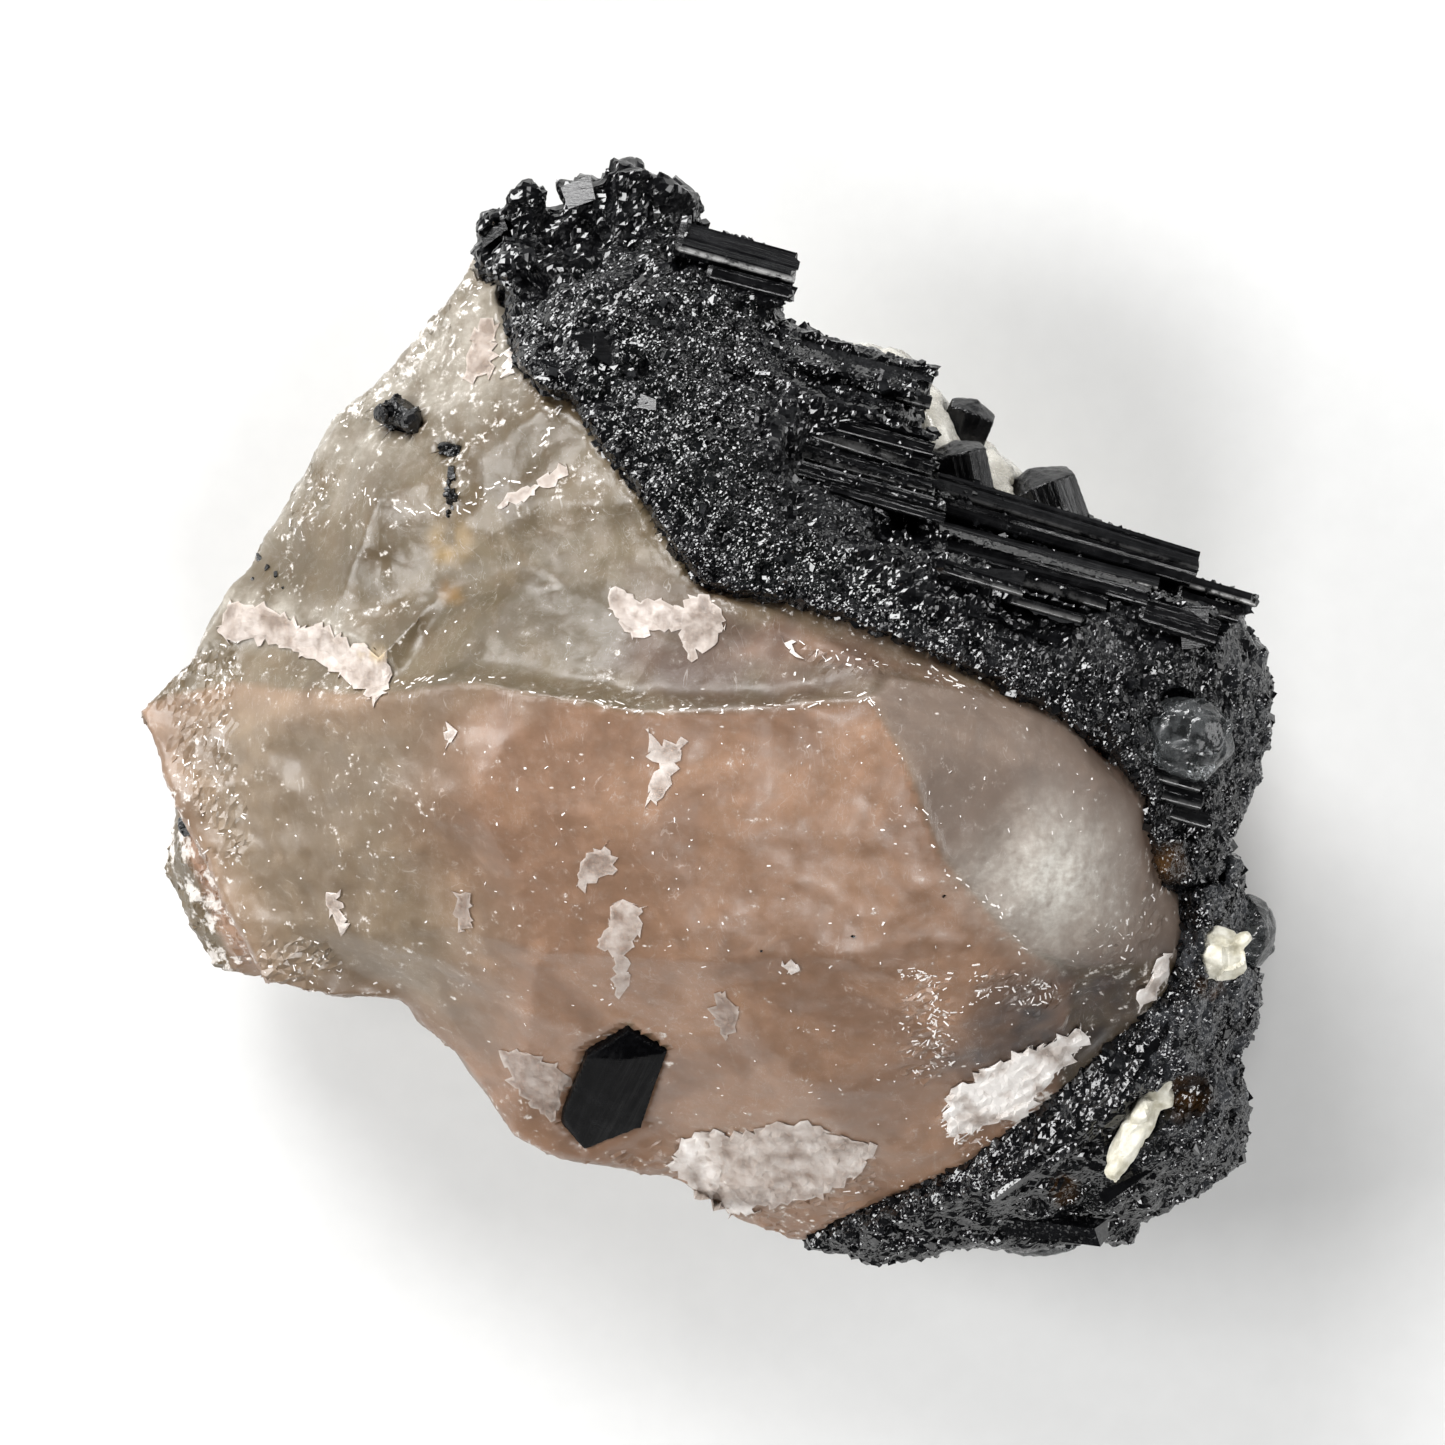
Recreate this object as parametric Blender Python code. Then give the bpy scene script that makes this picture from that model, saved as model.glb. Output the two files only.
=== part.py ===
"""Schorl on smoky quartz: a broken hand specimen, lying on its back with the broad quartz face up.

Every length is in millimetres until a mesh is finished, when it is turned to metres.
+Z is up, out of the broad face. +X runs right and +Y runs up as one looks down on that face.
The origin is on the flat resting face, under the middle of the outline.

The stone is a body of smoky quartz, a mass of fused schorl columns on its upper right, a ragged
schorl mass round its lower right, pale quartz behind, and small crystals set into the surface.
A mineral that lies in another sits in a pocket which is wider by GAP all round.
It measures about 63 wide, 61 high and 35 deep.
"""

import math

import bmesh
import bpy
from mathutils import Matrix, Vector, geometry, noise
from mathutils.bvhtree import BVHTree

# Driving dimensions, in millimetres
GAP = 0.3
METRES = 0.001

# Edge length of the facets on each mineral, and how deep the breaks bite into its faces and its steep sides
QUARTZ_GRAIN, QUARTZ_BITE, QUARTZ_SIDE_BITE = 3.2, 0.6, 0.7
SCHORL_GRAIN, SCHORL_BITE, SCHORL_SIDE_BITE = 2.5, 0.9, 0.6
REAR_GRAIN, REAR_BITE, REAR_SIDE_BITE = 3.2, 0.8, 0.6

# The long axis of the schorl columns: down to the right, and a little into the stone
COLUMN_SLOPE_DEG = -16.0
COLUMN_PLUNGE_DEG = -4.0

SCHORL_BLACK = (0.012, 0.012, 0.014)
SMOKY_BROWN = (0.40, 0.30, 0.22)
PALE_QUARTZ = (0.82, 0.80, 0.74)
FELDSPAR_CREAM = (0.72, 0.70, 0.60)

# The smoky quartz. A rim point is (x, y, top, bottom): its outline, and where its edge wall starts
# and ends in height. The stretch from the lower right to the top runs on under the schorl.
QUARTZ_RIM = [
    (-12.7, 25.4, 20.6, 12.0), (-13.9, 23.3, 20.5, 14.0), (-15.1, 21.4, 20.0, 15.5),
    (-17.0, 19.5, 19.0, 14.0), (-20.0, 16.5, 18.5, 13.0), (-21.6, 14.5, 18.0, 14.0),
    (-22.7, 12.7, 17.5, 13.0), (-24.7, 9.0, 17.0, 12.5), (-26.8, 6.8, 17.0, 13.5),
    (-28.7, 3.0, 16.5, 12.0), (-31.5, 0.1, 15.5, 12.5), (-29.8, -3.6, 16.5, 12.0),
    (-27.5, -8.6, 17.0, 11.0), (-24.5, -15.1, 17.0, 10.5), (-20.7, -15.8, 17.0, 11.0),
    (-16.8, -16.1, 16.5, 12.0), (-14.1, -18.9, 15.5, 11.5), (-10.5, -23.1, 14.5, 10.0),
    (-7.5, -24.9, 14.0, 10.0), (-2.0, -25.9, 13.5, 8.5), (1.5, -28.2, 12.5, 8.0),
    (5.9, -29.5, 12.2, 7.5), (10.7, -28.4, 15.2, 7.0), (16.4, -25.8, 18.6, 7.0),
    (21.6, -21.8, 21.2, 8.0), (25.6, -16.4, 22.8, 9.0), (25.8, -12.2, 23.4, 10.0),
    (26.0, -8.6, 22.6, 10.0), (26.4, -3.6, 25.4, 10.5), (24.2, -0.6, 26.8, 11.0),
    (21.0, 1.8, 28.2, 11.0), (17.4, 3.7, 29.6, 11.0), (12.8, 5.9, 30.4, 11.0), (8.8, 7.4, 30.8, 11.0),
    (5.4, 8.4, 30.8, 11.0), (2.4, 8.9, 30.6, 11.0), (0.4, 10.6, 30.2, 11.0), (-1.2, 13.2, 29.4, 11.0),
    (-3.6, 16.6, 28.2, 11.0), (-6.2, 18.8, 26.6, 11.0), (-8.2, 20.6, 25.0, 11.0),
    (-9.2, 23.0, 22.6, 11.0), (-11.0, 25.2, 21.2, 11.0),
]

# Lines of the broad face, each a ridge, a hollow or a single point (x, y, z)
QUARTZ_CREST = [
    (-17.1, 1.2, 27.5), (-12.5, 1.9, 30.5), (-8.0, 1.0, 32.4), (-3.6, 0.1, 33.4),
    (0.8, 0.2, 34.3), (5.2, 0.5, 35.0), (8.9, 0.8, 35.5),
]
QUARTZ_CREST_FOOT = [
    (-16.6, 2.3, 26.2), (-12.3, 3.0, 28.8), (-7.8, 2.2, 30.8), (-3.4, 1.4, 31.9),
    (1.0, 1.4, 32.8), (5.4, 1.6, 33.8),
]
QUARTZ_SHOULDER = [
    (8.9, 0.8, 35.5), (10.7, -2.5, 35.2), (12.6, -7.5, 33.6), (15.6, -11.1, 31.4), (17.5, -12.9, 29.6),
]
QUARTZ_BEVEL = [
    (4.1, 4.3, 33.4), (9.0, 2.7, 34.0), (16.2, -0.6, 33.0), (21.1, -3.6, 30.6), (23.0, -6.8, 28.6),
]
QUARTZ_UPPER_STEP = [(-21.0, 11.2, 20.6), (-17.9, 11.9, 24.2), (-11.3, 11.3, 27.4), (-3.8, 11.0, 30.4)]
QUARTZ_LEFT_LEDGE = [(-26.0, 6.0, 18.4), (-20.7, 5.0, 22.8), (-17.6, 3.2, 26.6)]
QUARTZ_LEFT_LEDGE_FOOT = [(-26.0, 4.2, 18.0), (-21.0, 3.2, 21.8), (-17.8, 1.6, 25.4)]
QUARTZ_SEAM = [
    (-11.2, 22.0, 23.2), (-10.6, 19.5, 25.2), (-9.1, 17.5, 27.0), (-6.0, 15.0, 29.0), (-3.8, 11.6, 30.6),
    (-0.5, 6.9, 31.9), (4.5, 5.6, 32.4), (11.8, 3.1, 32.2), (19.4, -0.7, 29.9), (23.7, -5.0, 27.3),
    (24.4, -9.4, 25.3),
]
QUARTZ_FRINGE = [(24.6, -14.6, 24.6), (19.4, -20.2, 22.8), (14.0, -24.4, 19.8), (8.0, -27.3, 15.6)]
QUARTZ_TOP_FACETS = [
    [(-15.2, 15.6, 23.6)], [(-12.0, 14.2, 27.0), (-8.6, 17.0, 28.0)], [(-13.4, 20.0, 22.6)],
    [(-9.6, 8.0, 27.6), (-14.1, 6.8, 25.4)], [(-1.4, 3.8, 31.4)],
]
QUARTZ_LOWER_FACETS = [
    [(-12.4, -3.6, 29.2)], [(-4.7, -5.8, 31.6)], [(4.1, -6.4, 33.0)], [(8.5, -13.0, 30.6)],
    [(-0.3, -13.5, 29.0)], [(-9.1, -13.0, 26.0)], [(13.4, -17.6, 27.0)], [(5.2, -20.1, 23.8)],
    [(-3.6, -20.1, 20.0)], [(-14.1, -11.9, 23.4)], [(-19.6, -7.5, 22.8), (-22.3, -2.5, 21.4)],
    [(-26.4, -1.5, 18.0), (-25.2, -7.5, 18.6)], [(-22.0, -12.6, 18.6)], [(8.6, -24.0, 19.6)],
    [(16.8, -5.0, 33.2), (20.4, -8.4, 31.0)], [(21.8, -12.2, 27.6)], [(-20.8, 0.4, 24.0)],
]
QUARTZ_FOOT = [
    (-20.7, 3.5), (-15.7, 10.7), (-8.0, 13.4), (-0.3, 8.5), (7.9, 3.5), (16.2, -2.5),
    (18.4, -9.1), (14.0, -16.7), (8.5, -20.6), (-0.3, -20.7), (-10.2, -16.7), (-17.9, -10.2),
]
QUARTZ_BELLY = [
    [(-24.5, 1.0, 6.0)], [(-20.0, 9.5, 6.5)], [(-14.0, 17.5, 7.0)], [(-21.5, -10.0, 5.0)],
    [(-13.0, -18.0, 5.0)], [(3.0, -25.5, 3.5)], [(17.5, -20.5, 4.0)], [(22.0, -8.0, 5.5)],
]
# The edge of the same quartz that shows behind, past the left of the broad face
QUARTZ_SPUR = [
    (-29.4, -3.8, 8.5), (-29.7, -6.9, 9.5), (-30.5, -8.6, 8.0), (-28.9, -11.8, 9.0), (-27.6, -14.2, 8.0),
    (-24.6, -15.0, 9.5), (-28.0, -7.5, 12.5), (-25.5, -12.5, 11.8), (-22.0, -3.0, 12.0), (-20.0, -13.0, 11.0),
    (-24.0, -3.0, 4.0), (-26.0, -8.5, 3.5), (-24.0, -13.0, 3.5), (-18.0, -8.0, 3.0),
]

# The fused columns on the upper right. The first stretch is the seam with the quartz, and lies proud of it.
COLUMNS_RIM = [
    (-12.2, 27.4, 20.5, 17.0), (-12.7, 25.4, 21.6, 17.0), (-11.9, 23.7, 22.8, 17.0),
    (-10.9, 23.0, 23.6, 16.0),
    (-10.7, 21.1, 25.4, 16.0), (-10.2, 18.9, 27.4, 17.0), (-8.9, 17.7, 28.6, 18.0), (-6.9, 16.7, 29.4, 19.0),
    (-5.9, 15.1, 30.2, 20.0), (-3.6, 11.8, 31.6, 21.0), (-2.1, 9.6, 32.2, 22.0), (-0.3, 7.1, 32.8, 23.0),
    (1.6, 6.4, 33.2, 24.0), (4.6, 5.9, 33.2, 24.0), (7.9, 4.9, 33.2, 24.0), (11.8, 3.4, 33.0, 24.0),
    (16.2, 1.3, 32.2, 23.0), (19.5, -0.4, 31.0, 22.0), (22.2, -2.5, 29.6, 21.0), (23.9, -4.7, 28.2, 19.0),
    (24.5, -8.0, 27.0, 17.0), (25.0, -9.4, 26.0, 16.0), (28.0, -9.1, 22.5, 14.0), (29.4, -5.1, 20.5, 13.0),
    (30.2, -3.7, 19.5, 13.0), (30.9, -0.9, 19.5, 12.5), (31.1, 1.3, 20.0, 12.5), (30.7, 3.4, 20.5, 13.0),
    (29.0, 5.4, 21.5, 13.5), (26.9, 6.9, 22.0, 14.0), (21.4, 8.9, 22.5, 14.0), (16.7, 9.7, 23.0, 14.0),
    (12.0, 10.7, 24.0, 14.5), (11.9, 14.5, 24.5, 14.5), (11.5, 18.0, 24.0, 15.0), (7.1, 20.2, 24.5, 15.0),
    (4.3, 21.4, 25.0, 15.0), (4.0, 24.3, 23.5, 15.5), (2.9, 25.2, 23.5, 16.0), (0.2, 26.1, 23.0, 16.5),
    (-0.8, 28.0, 22.0, 16.0), (-2.7, 28.4, 22.0, 16.0), (-3.6, 29.4, 22.0, 16.5), (-5.4, 29.3, 22.0, 16.0),
    (-7.3, 28.6, 21.5, 15.5), (-9.3, 27.4, 21.5, 16.0), (-10.4, 27.6, 20.5, 16.5),
]
COLUMNS_CROWN = [
    [(-8.0, 22.8, 26.6), (-3.6, 22.8, 28.4), (0.0, 17.3, 30.8), (3.2, 13.6, 31.6), (4.1, 9.8, 32.6)],
    [(-7.0, 19.2, 28.6)], [(-2.6, 25.2, 26.0)], [(0.4, 12.4, 32.2)],
    [(0.8, 22.8, 27.4), (5.4, 17.0, 29.6), (10.6, 16.0, 28.4)],
    [(5.6, 13.8, 28.4), (9.4, 12.6, 27.8)],
    [(8.0, 9.0, 32.0), (13.4, 6.3, 32.2), (18.9, 3.2, 31.2), (23.0, 0.2, 29.4)],
    [(12.3, 9.4, 28.4), (18.0, 8.2, 27.8), (23.4, 7.0, 26.6)],
    [(27.4, 3.4, 25.8), (28.2, 0.0, 25.0), (27.8, -4.4, 24.2)],
]
COLUMNS_BELLY = [
    [(-7.0, 23.0, 13.5)], [(-3.1, 20.0, 13.0)], [(3.0, 16.0, 12.5)], [(9.0, 9.0, 12.5)],
    [(18.5, 5.0, 11.5)], [(26.1, -1.4, 10.5)],
]

# Smooth columns that stand out of that mass: right end (x, y, and z of its top), length, width and depth
COLUMN_ENDS = {
    "top": (4.9, 24.1, 26.0, 6.5, 2.0, 4.0),
    "top_low": (4.2, 22.4, 26.6, 5.5, 1.2, 3.4),
    "upper_edge": (12.3, 17.9, 26.2, 8.6, 1.6, 4.4),
    "upper_strip": (11.2, 17.3, 27.8, 7.4, 1.2, 3.4),
    "hollow_first": (12.2, 14.8, 28.6, 6.4, 1.1, 4.0),
    "hollow_second": (12.4, 13.5, 28.4, 7.6, 1.0, 4.0),
    "hollow_third": (12.3, 12.2, 28.8, 8.4, 1.1, 4.0),
    "hollow_fourth": (12.6, 11.1, 29.2, 7.0, 0.9, 4.0),
    "rear_edge": (26.6, 7.3, 24.6, 15.0, 1.8, 4.4),
    "long_edge": (24.2, 6.6, 27.4, 13.0, 1.5, 4.4),
    "short_front": (17.0, 6.6, 32.4, 4.8, 1.2, 3.0),
    "right_sliver": (29.7, 5.9, 24.4, 4.4, 1.1, 2.6),
    "right_block": (27.6, 4.6, 27.2, 5.0, 2.2, 3.6),
    "right_bar": (27.0, -4.4, 26.8, 4.4, 1.5, 3.0),
    "right_bar_low": (27.2, -6.0, 25.8, 4.4, 1.5, 3.0),
}
# Stubby crystals that point up out of its top left: foot, tip, width and how blunt
COLUMN_KNOBS = [
    ((-10.2, 23.8, 19.6), (-12.1, 27.4, 21.6), 2.5, 0.5),
    ((-9.2, 23.4, 20.0), (-9.9, 28.7, 22.6), 2.5, 0.6),
    ((-9.0, 24.4, 21.4), (-11.2, 25.0, 24.6), 2.2, 0.4),
    ((-6.0, 22.0, 21.6), (-6.5, 29.4, 22.8), 3.6, 0.35),
    ((-4.4, 22.0, 22.0), (-4.2, 30.2, 23.6), 3.4, 0.5),
    ((-2.2, 21.6, 21.8), (-1.7, 29.0, 22.8), 3.0, 0.4),
]
# Hollows that bare a smooth face: right end and top of the hollow, length, width and depth
COLUMN_PITS = [(-3.0, 18.6, 31.4, 4.6, 2.3, 3.2), (-2.5, 16.6, 31.6, 1.6, 1.0, 1.4)]

# The ragged schorl round the lower right. Its inner side dips under the quartz.
FLANK_RIM = [
    (25.4, -7.4, 23.8, 13.0), (22.6, -10.9, 18.5, 11.0), (20.9, -14.2, 18.0, 10.0), (16.6, -18.0, 17.0, 9.0),
    (11.6, -21.8, 14.0, 7.5), (6.4, -25.7, 11.4, 7.0), (5.8, -29.5, 12.6, 8.0), (9.6, -30.5, 13.0, 7.5),
    (14.2, -29.7, 13.5, 7.0), (16.8, -29.6, 13.5, 6.5), (21.0, -29.2, 13.5, 6.5), (23.4, -29.2, 12.5, 6.5),
    (24.1, -28.0, 13.0, 6.5), (26.7, -26.7, 13.5, 6.5), (29.6, -24.8, 14.0, 7.0), (29.9, -21.8, 15.0, 7.5),
    (29.3, -19.1, 16.5, 8.0), (30.4, -17.1, 16.5, 8.5), (30.3, -14.9, 17.5, 9.0), (29.8, -12.0, 18.5, 10.0),
    (29.3, -8.0, 20.6, 12.0),
]
FLANK_CROWN = [
    [
        (27.0, -9.6, 24.8), (27.0, -13.8, 25.0), (25.6, -17.6, 24.8), (20.8, -22.4, 23.2), (15.6, -25.8, 20.6),
        (9.0, -28.4, 16.2),
    ],
    [(24.9, -15.7, 23.6), (19.6, -20.6, 22.0), (14.2, -24.8, 18.9)],
    [(27.6, -21.0, 22.4), (23.6, -25.4, 20.0)], [(27.4, -24.4, 19.0)], [(16.0, -28.0, 16.4)],
]
FLANK_BELLY = [[(24.0, -15.0, 6.0)], [(24.5, -21.5, 4.0)], [(17.0, -25.5, 3.5)]]
FLANK_PIT = (26.3, -21.0, 22.4, 1.7)

# Pale quartz behind, which shows past the upper right of the columns
REAR_RIM = [
    (10.8, 20.4, 12.5, 9.0), (6.8, 20.9, 11.5, 8.0), (3.0, 20.6, 11.0, 7.0), (-5.8, 20.6, 11.0, 8.0),
    (-7.6, 14.5, 11.0, 7.0), (-0.3, 8.6, 10.0, 6.0), (7.9, 4.2, 10.0, 6.0), (16.2, -0.8, 10.0, 6.0),
    (22.8, -2.3, 11.0, 6.0), (27.2, -0.5, 11.0, 6.5), (27.0, 4.1, 11.0, 7.0), (25.0, 7.0, 11.5, 7.5),
    (22.1, 9.7, 12.0, 8.0), (19.8, 13.0, 11.5, 7.5), (17.5, 13.7, 12.0, 8.0), (15.3, 15.3, 12.5, 8.5),
    (13.5, 17.5, 13.0, 8.5),
]
REAR_CROWN = [
    [(8.5, 17.6, 17.5), (13.4, 14.0, 17.0), (18.0, 10.6, 16.5)],
    [(0.0, 16.5, 15.0)],
    [(20.0, 4.0, 14.0)],
]
REAR_FOOT = [
    (-0.8, 16.3), (5.2, 8.5), (13.4, 4.1), (20.6, 2.6), (22.4, 5.0), (18.9, 8.4), (13.4, 12.8), (7.9, 16.6),
]

# Schorl crystals of their own: foot and tip of the axis (x, y, z), width, depth, and how blunt the point is
CRYSTALS = {
    "schorl_rear_large": ((20.2, 7.6, 11.0), (17.9, 13.6, 12.6), 4.4, 4.0, 0.45),
    "schorl_rear_small": ((13.4, 13.6, 11.4), (15.0, 17.4, 12.8), 2.7, 2.4, 0.5),
    "schorl_rear_middle": ((14.6, 10.6, 16.4), (13.6, 15.0, 17.6), 3.2, 2.9, 0.4),
    "schorl_left_edge": ((-26.2, -5.4, 12.0), (-29.3, -6.4, 11.6), 1.2, 1.1, 0.3),
}
# The crystal let into the lower face: corners of its outer end, and the way it runs into the stone
FRONT_CRYSTAL = [
    (-4.2, -17.3, 23.2), (-2.1, -18.5, 22.5), (-3.4, -22.1, 17.7), (-3.6, -22.8, 16.8), (-6.7, -24.1, 15.0),
    (-8.0, -22.6, 15.7), (-7.9, -22.1, 16.6), (-6.5, -18.8, 21.0), (-4.6, -18.9, 22.0), (-5.6, -22.4, 17.4),
]
FRONT_CRYSTAL_RUN = (0.0, 3.1, -2.5)
# Black clumps of short crystals: centre (x, y, z), width, and how many crystals
CLUMPS = {
    "schorl_upper_left": ((-16.6, 16.0, 21.6), 3.4, 4),
    "schorl_speck": ((-13.8, 14.1, 24.6), 1.8, 3),
    "schorl_speck_low": ((-13.8, 11.7, 26.0), 1.1, 2),
}
# Pale lumps that sit on the schorl: corner spread about a centre (x, y, z), and the size each way
PALE_LUMPS = {
    "quartz_bead": ((26.1, -1.3, 26.5), (5.6, 5.6, 4.2), "pale_quartz"),
    "quartz_chip_bottom": ((18.6, -29.2, 9.5), (5.0, 2.4, 4.6), "pale_quartz"),
    "quartz_chip_right": ((30.0, -11.9, 17.0), (3.0, 4.4, 5.0), "pale_quartz"),
    "feldspar_chip": ((28.0, -13.2, 23.2), (3.5, 3.3, 2.8), "feldspar"),
    "feldspar_blade": ((23.6, -22.4, 21.8), (1.9, 8.2, 2.4), "feldspar"),
}
FELDSPAR_BLADE_TURN_DEG = -28.0


def clear_scene():
    """Start from nothing."""
    for old in list(bpy.data.objects):
        bpy.data.objects.remove(old)


def mineral(name, colour, roughness, transmission=0.0):
    """A plain Principled material with the mineral's colour and polish."""
    material = bpy.data.materials.new(name)
    material.use_nodes = True
    shader = material.node_tree.nodes["Principled BSDF"]
    shader.inputs["Base Color"].default_value = (*colour, 1.0)
    shader.inputs["Roughness"].default_value = roughness
    shader.inputs["Metallic"].default_value = 0.0
    shader.inputs["Transmission Weight"].default_value = transmission
    shader.inputs["IOR"].default_value = 1.54
    return material


def place(name, bm, material=None):
    """Turns a finished mesh in millimetres into an object in metres.

    Without a material it is a hidden helper."""
    bmesh.ops.recalc_face_normals(bm, faces=bm.faces)
    bm.transform(Matrix.Scale(METRES, 4))
    mesh = bpy.data.meshes.new(name)
    bm.to_mesh(mesh)
    bm.free()
    piece = bpy.data.objects.new(name, mesh)
    bpy.context.scene.collection.objects.link(piece)
    if material is None:
        piece.hide_render = True
        piece.display_type = "WIRE"
    else:
        mesh.materials.append(material)
    return piece


def triangulated(rim, lines):
    """Triangles over an outline, with every line of the relief kept as edges. Points are (x, y, z)."""
    points = [Vector(p) for p in rim]
    places = {tuple(round(c, 4) for c in p): i for i, p in enumerate(points)}
    edges = []
    for line in lines:
        order = []
        for p in line:
            key = tuple(round(c, 4) for c in Vector(p))
            if key not in places:
                places[key] = len(points)
                points.append(Vector(p))
            order.append(places[key])
        edges += list(zip(order, order[1:]))
    outline = list(range(len(rim)))
    flat = [p.to_2d() for p in points]
    _, _, faces, origins, _, _ = geometry.delaunay_2d_cdt(flat, edges, [outline], 1, 1e-5)
    return points, [[origins[i][0] for i in face] for face in faces]


def relief(rim, crown, belly, grow=0.0):
    """A closed stone of two reliefs over one outline, with an edge wall between them.

    Crown lines shape the top and belly lines the underside. rim runs anticlockwise. grow pushes every
    face out, for the pocket that the stone sits in."""
    bm = bmesh.new()
    upper, top_faces = triangulated([(x, y, high) for x, y, high, _ in rim], crown)
    lower, low_faces = triangulated([(x, y, low) for x, y, _, low in rim], belly)
    tops = [bm.verts.new(p) for p in upper]
    lows = [bm.verts.new(p) for p in lower]
    for face in top_faces:
        bm.faces.new([tops[i] for i in face])
    for face in low_faces:
        bm.faces.new([lows[i] for i in reversed(face)])
    count = len(rim)
    for i in range(count):
        j = (i + 1) % count
        bm.faces.new([tops[i], lows[i], lows[j], tops[j]])
    bmesh.ops.triangulate(bm, faces=bm.faces)
    bmesh.ops.recalc_face_normals(bm, faces=bm.faces)
    swell(bm, grow)
    return bm


def hull(points, grow=0.0):
    """The closed faceted lump round some points, pushed out by grow."""
    bm = bmesh.new()
    for p in points:
        bm.verts.new(p)
    made = bmesh.ops.convex_hull(bm, input=bm.verts)
    spare = [g for g in made["geom_interior"] + made["geom_unused"] if isinstance(g, bmesh.types.BMVert)]
    bmesh.ops.delete(bm, geom=list(set(spare)), context="VERTS")
    bmesh.ops.recalc_face_normals(bm, faces=bm.faces)
    swell(bm, grow)
    return bm


def swell(bm, grow):
    """Moves every corner out, so that each face that meets there goes out by at least grow."""
    if not grow:
        return
    bm.normal_update()
    moves = []
    for v in bm.verts:
        out = v.normal
        least = min((out.dot(f.normal) for f in v.link_faces), default=1.0)
        moves.append((v, out * (grow / max(least, 0.35))))
    for v, move in moves:
        v.co += move


def refine(bm, grain):
    """Splits edges until none is much longer than grain."""
    for _ in range(6):
        long = [e for e in bm.edges if e.calc_length() > 1.35 * grain]
        if not long:
            return
        bmesh.ops.subdivide_edges(bm, edges=long, cuts=1, use_grid_fill=False)
        bmesh.ops.triangulate(bm, faces=[f for f in bm.faces if len(f.verts) > 3])


def buried(tree, point):
    """Whether a point lies inside a closed mesh."""
    spot, outward, _, _ = tree.find_nearest(point)
    return (point - spot).dot(outward) < 0


def chip(bm, grain, bite, side_bite, seed, neighbours=()):
    """Breaks the surface into chips: every corner goes in, never out, by a smooth and a sharp noise.

    The flat resting face stays flat, and so does what is grown fast to a neighbour."""
    refine(bm, grain)
    bm.normal_update()
    moves = []
    trees = []
    for other in neighbours:
        trees.append(BVHTree.FromBMesh(other))
        other.free()
    for v in bm.verts:
        if v.co.z < 0.01 or any(buried(tree, v.co) for tree in trees):
            continue
        at = v.co / (2.6 * grain) + Vector((seed * 7.3, seed * 3.1, seed * 5.7))
        lump = 0.5 + 0.5 * noise.noise(at)
        near = noise.voronoi(at * 1.7)[0]
        sharp = min(near[1] - near[0], 0.6) / 0.6
        steep = 1.0 - abs(v.normal.z)
        depth = bite + (side_bite - bite) * steep
        moves.append((v, v.normal * -depth * (0.35 * lump + 0.65 * (1.0 - sharp) * lump)))
    for v, move in moves:
        v.co += move


def foot_lines(foot):
    """The resting face as one closed line at height 0."""
    return [[(x, y, 0.0) for x, y in foot + foot[:1]]]


def column_direction():
    """Unit vector along the columns."""
    slope, plunge = math.radians(COLUMN_SLOPE_DEG), math.radians(COLUMN_PLUNGE_DEG)
    return Vector((math.cos(slope) * math.cos(plunge), math.sin(slope) * math.cos(plunge), math.sin(plunge)))


def prism(foot, tip, width, depth, blunt, sides=9, turn=0.0, grow=0.0):
    """A schorl crystal from foot to tip: a rounded triangle in section, ending in three sloping faces.

    blunt is how far those faces drop towards the edge, as a share of the width. depth is its size across."""
    foot, tip = Vector(foot), Vector(tip)
    along = (tip - foot).normalized()
    across = along.cross(Vector((0.0, 0.0, 1.0))).normalized()
    up = across.cross(along)
    foot, tip = foot - along * grow, tip + along * grow
    base, end = [], []
    for i in range(sides):
        angle = 2 * math.pi * i / sides + turn
        swing = 1.0 + 0.10 * math.cos(3 * (angle - turn))
        side = across * math.cos(angle) * (swing * width / 2 + grow)
        side += up * math.sin(angle) * (swing * depth / 2 + grow)
        nearest = max(math.cos(angle - turn - 2 * math.pi * k / 3) for k in range(3))
        base.append(foot + side)
        end.append(tip + side - along * (blunt * width * nearest / 2))
    bm = bmesh.new()
    low = [bm.verts.new(p) for p in base]
    high = [bm.verts.new(p) for p in end]
    apex = bm.verts.new(tip + along * 0.02)
    bm.faces.new(low)
    for i in range(sides):
        j = (i + 1) % sides
        bm.faces.new([low[i], low[j], high[j], high[i]])
        bm.faces.new([high[i], high[j], apex])
    bmesh.ops.recalc_face_normals(bm, faces=bm.faces)
    return bm


def column(end, grow=0.0):
    """One smooth column of the upper mass, from its broken right end back into the stone."""
    x, y, top, length, width, depth = end
    along = column_direction()
    tip = Vector((x, y, top - depth / 2))
    turn = math.radians(20 + 47 * x)
    return prism(tip - along * length, tip, width, depth, 0.06, sides=7, turn=turn, grow=grow)


def knob(foot, tip, width, blunt, grow=0.0):
    """One stubby crystal at the top left of the upper mass."""
    return prism(foot, tip, width, width * 0.9, blunt, sides=6, turn=foot[0], grow=grow)


def clump(centre, width, count, grow=0.0):
    """The corners of a few stubby crystals that point every way from one centre, as one faceted lump each."""
    centre = Vector(centre)
    made = []
    for i in range(count):
        angle = 2.4 * i
        lean = 0.25 + 0.75 * ((i * 0.61) % 1.0)
        out = Vector((math.cos(angle) * lean, math.sin(angle) * lean, 0.55 - 0.4 * lean)).normalized()
        reach = width * (0.36 + 0.16 * math.cos(5.1 * i))
        foot = centre - out * reach * 0.7
        tip = centre + out * reach
        made.append(prism(foot, tip, width * 0.52, width * 0.46, 0.4, sides=5, turn=i, grow=grow))
    return made


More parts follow.
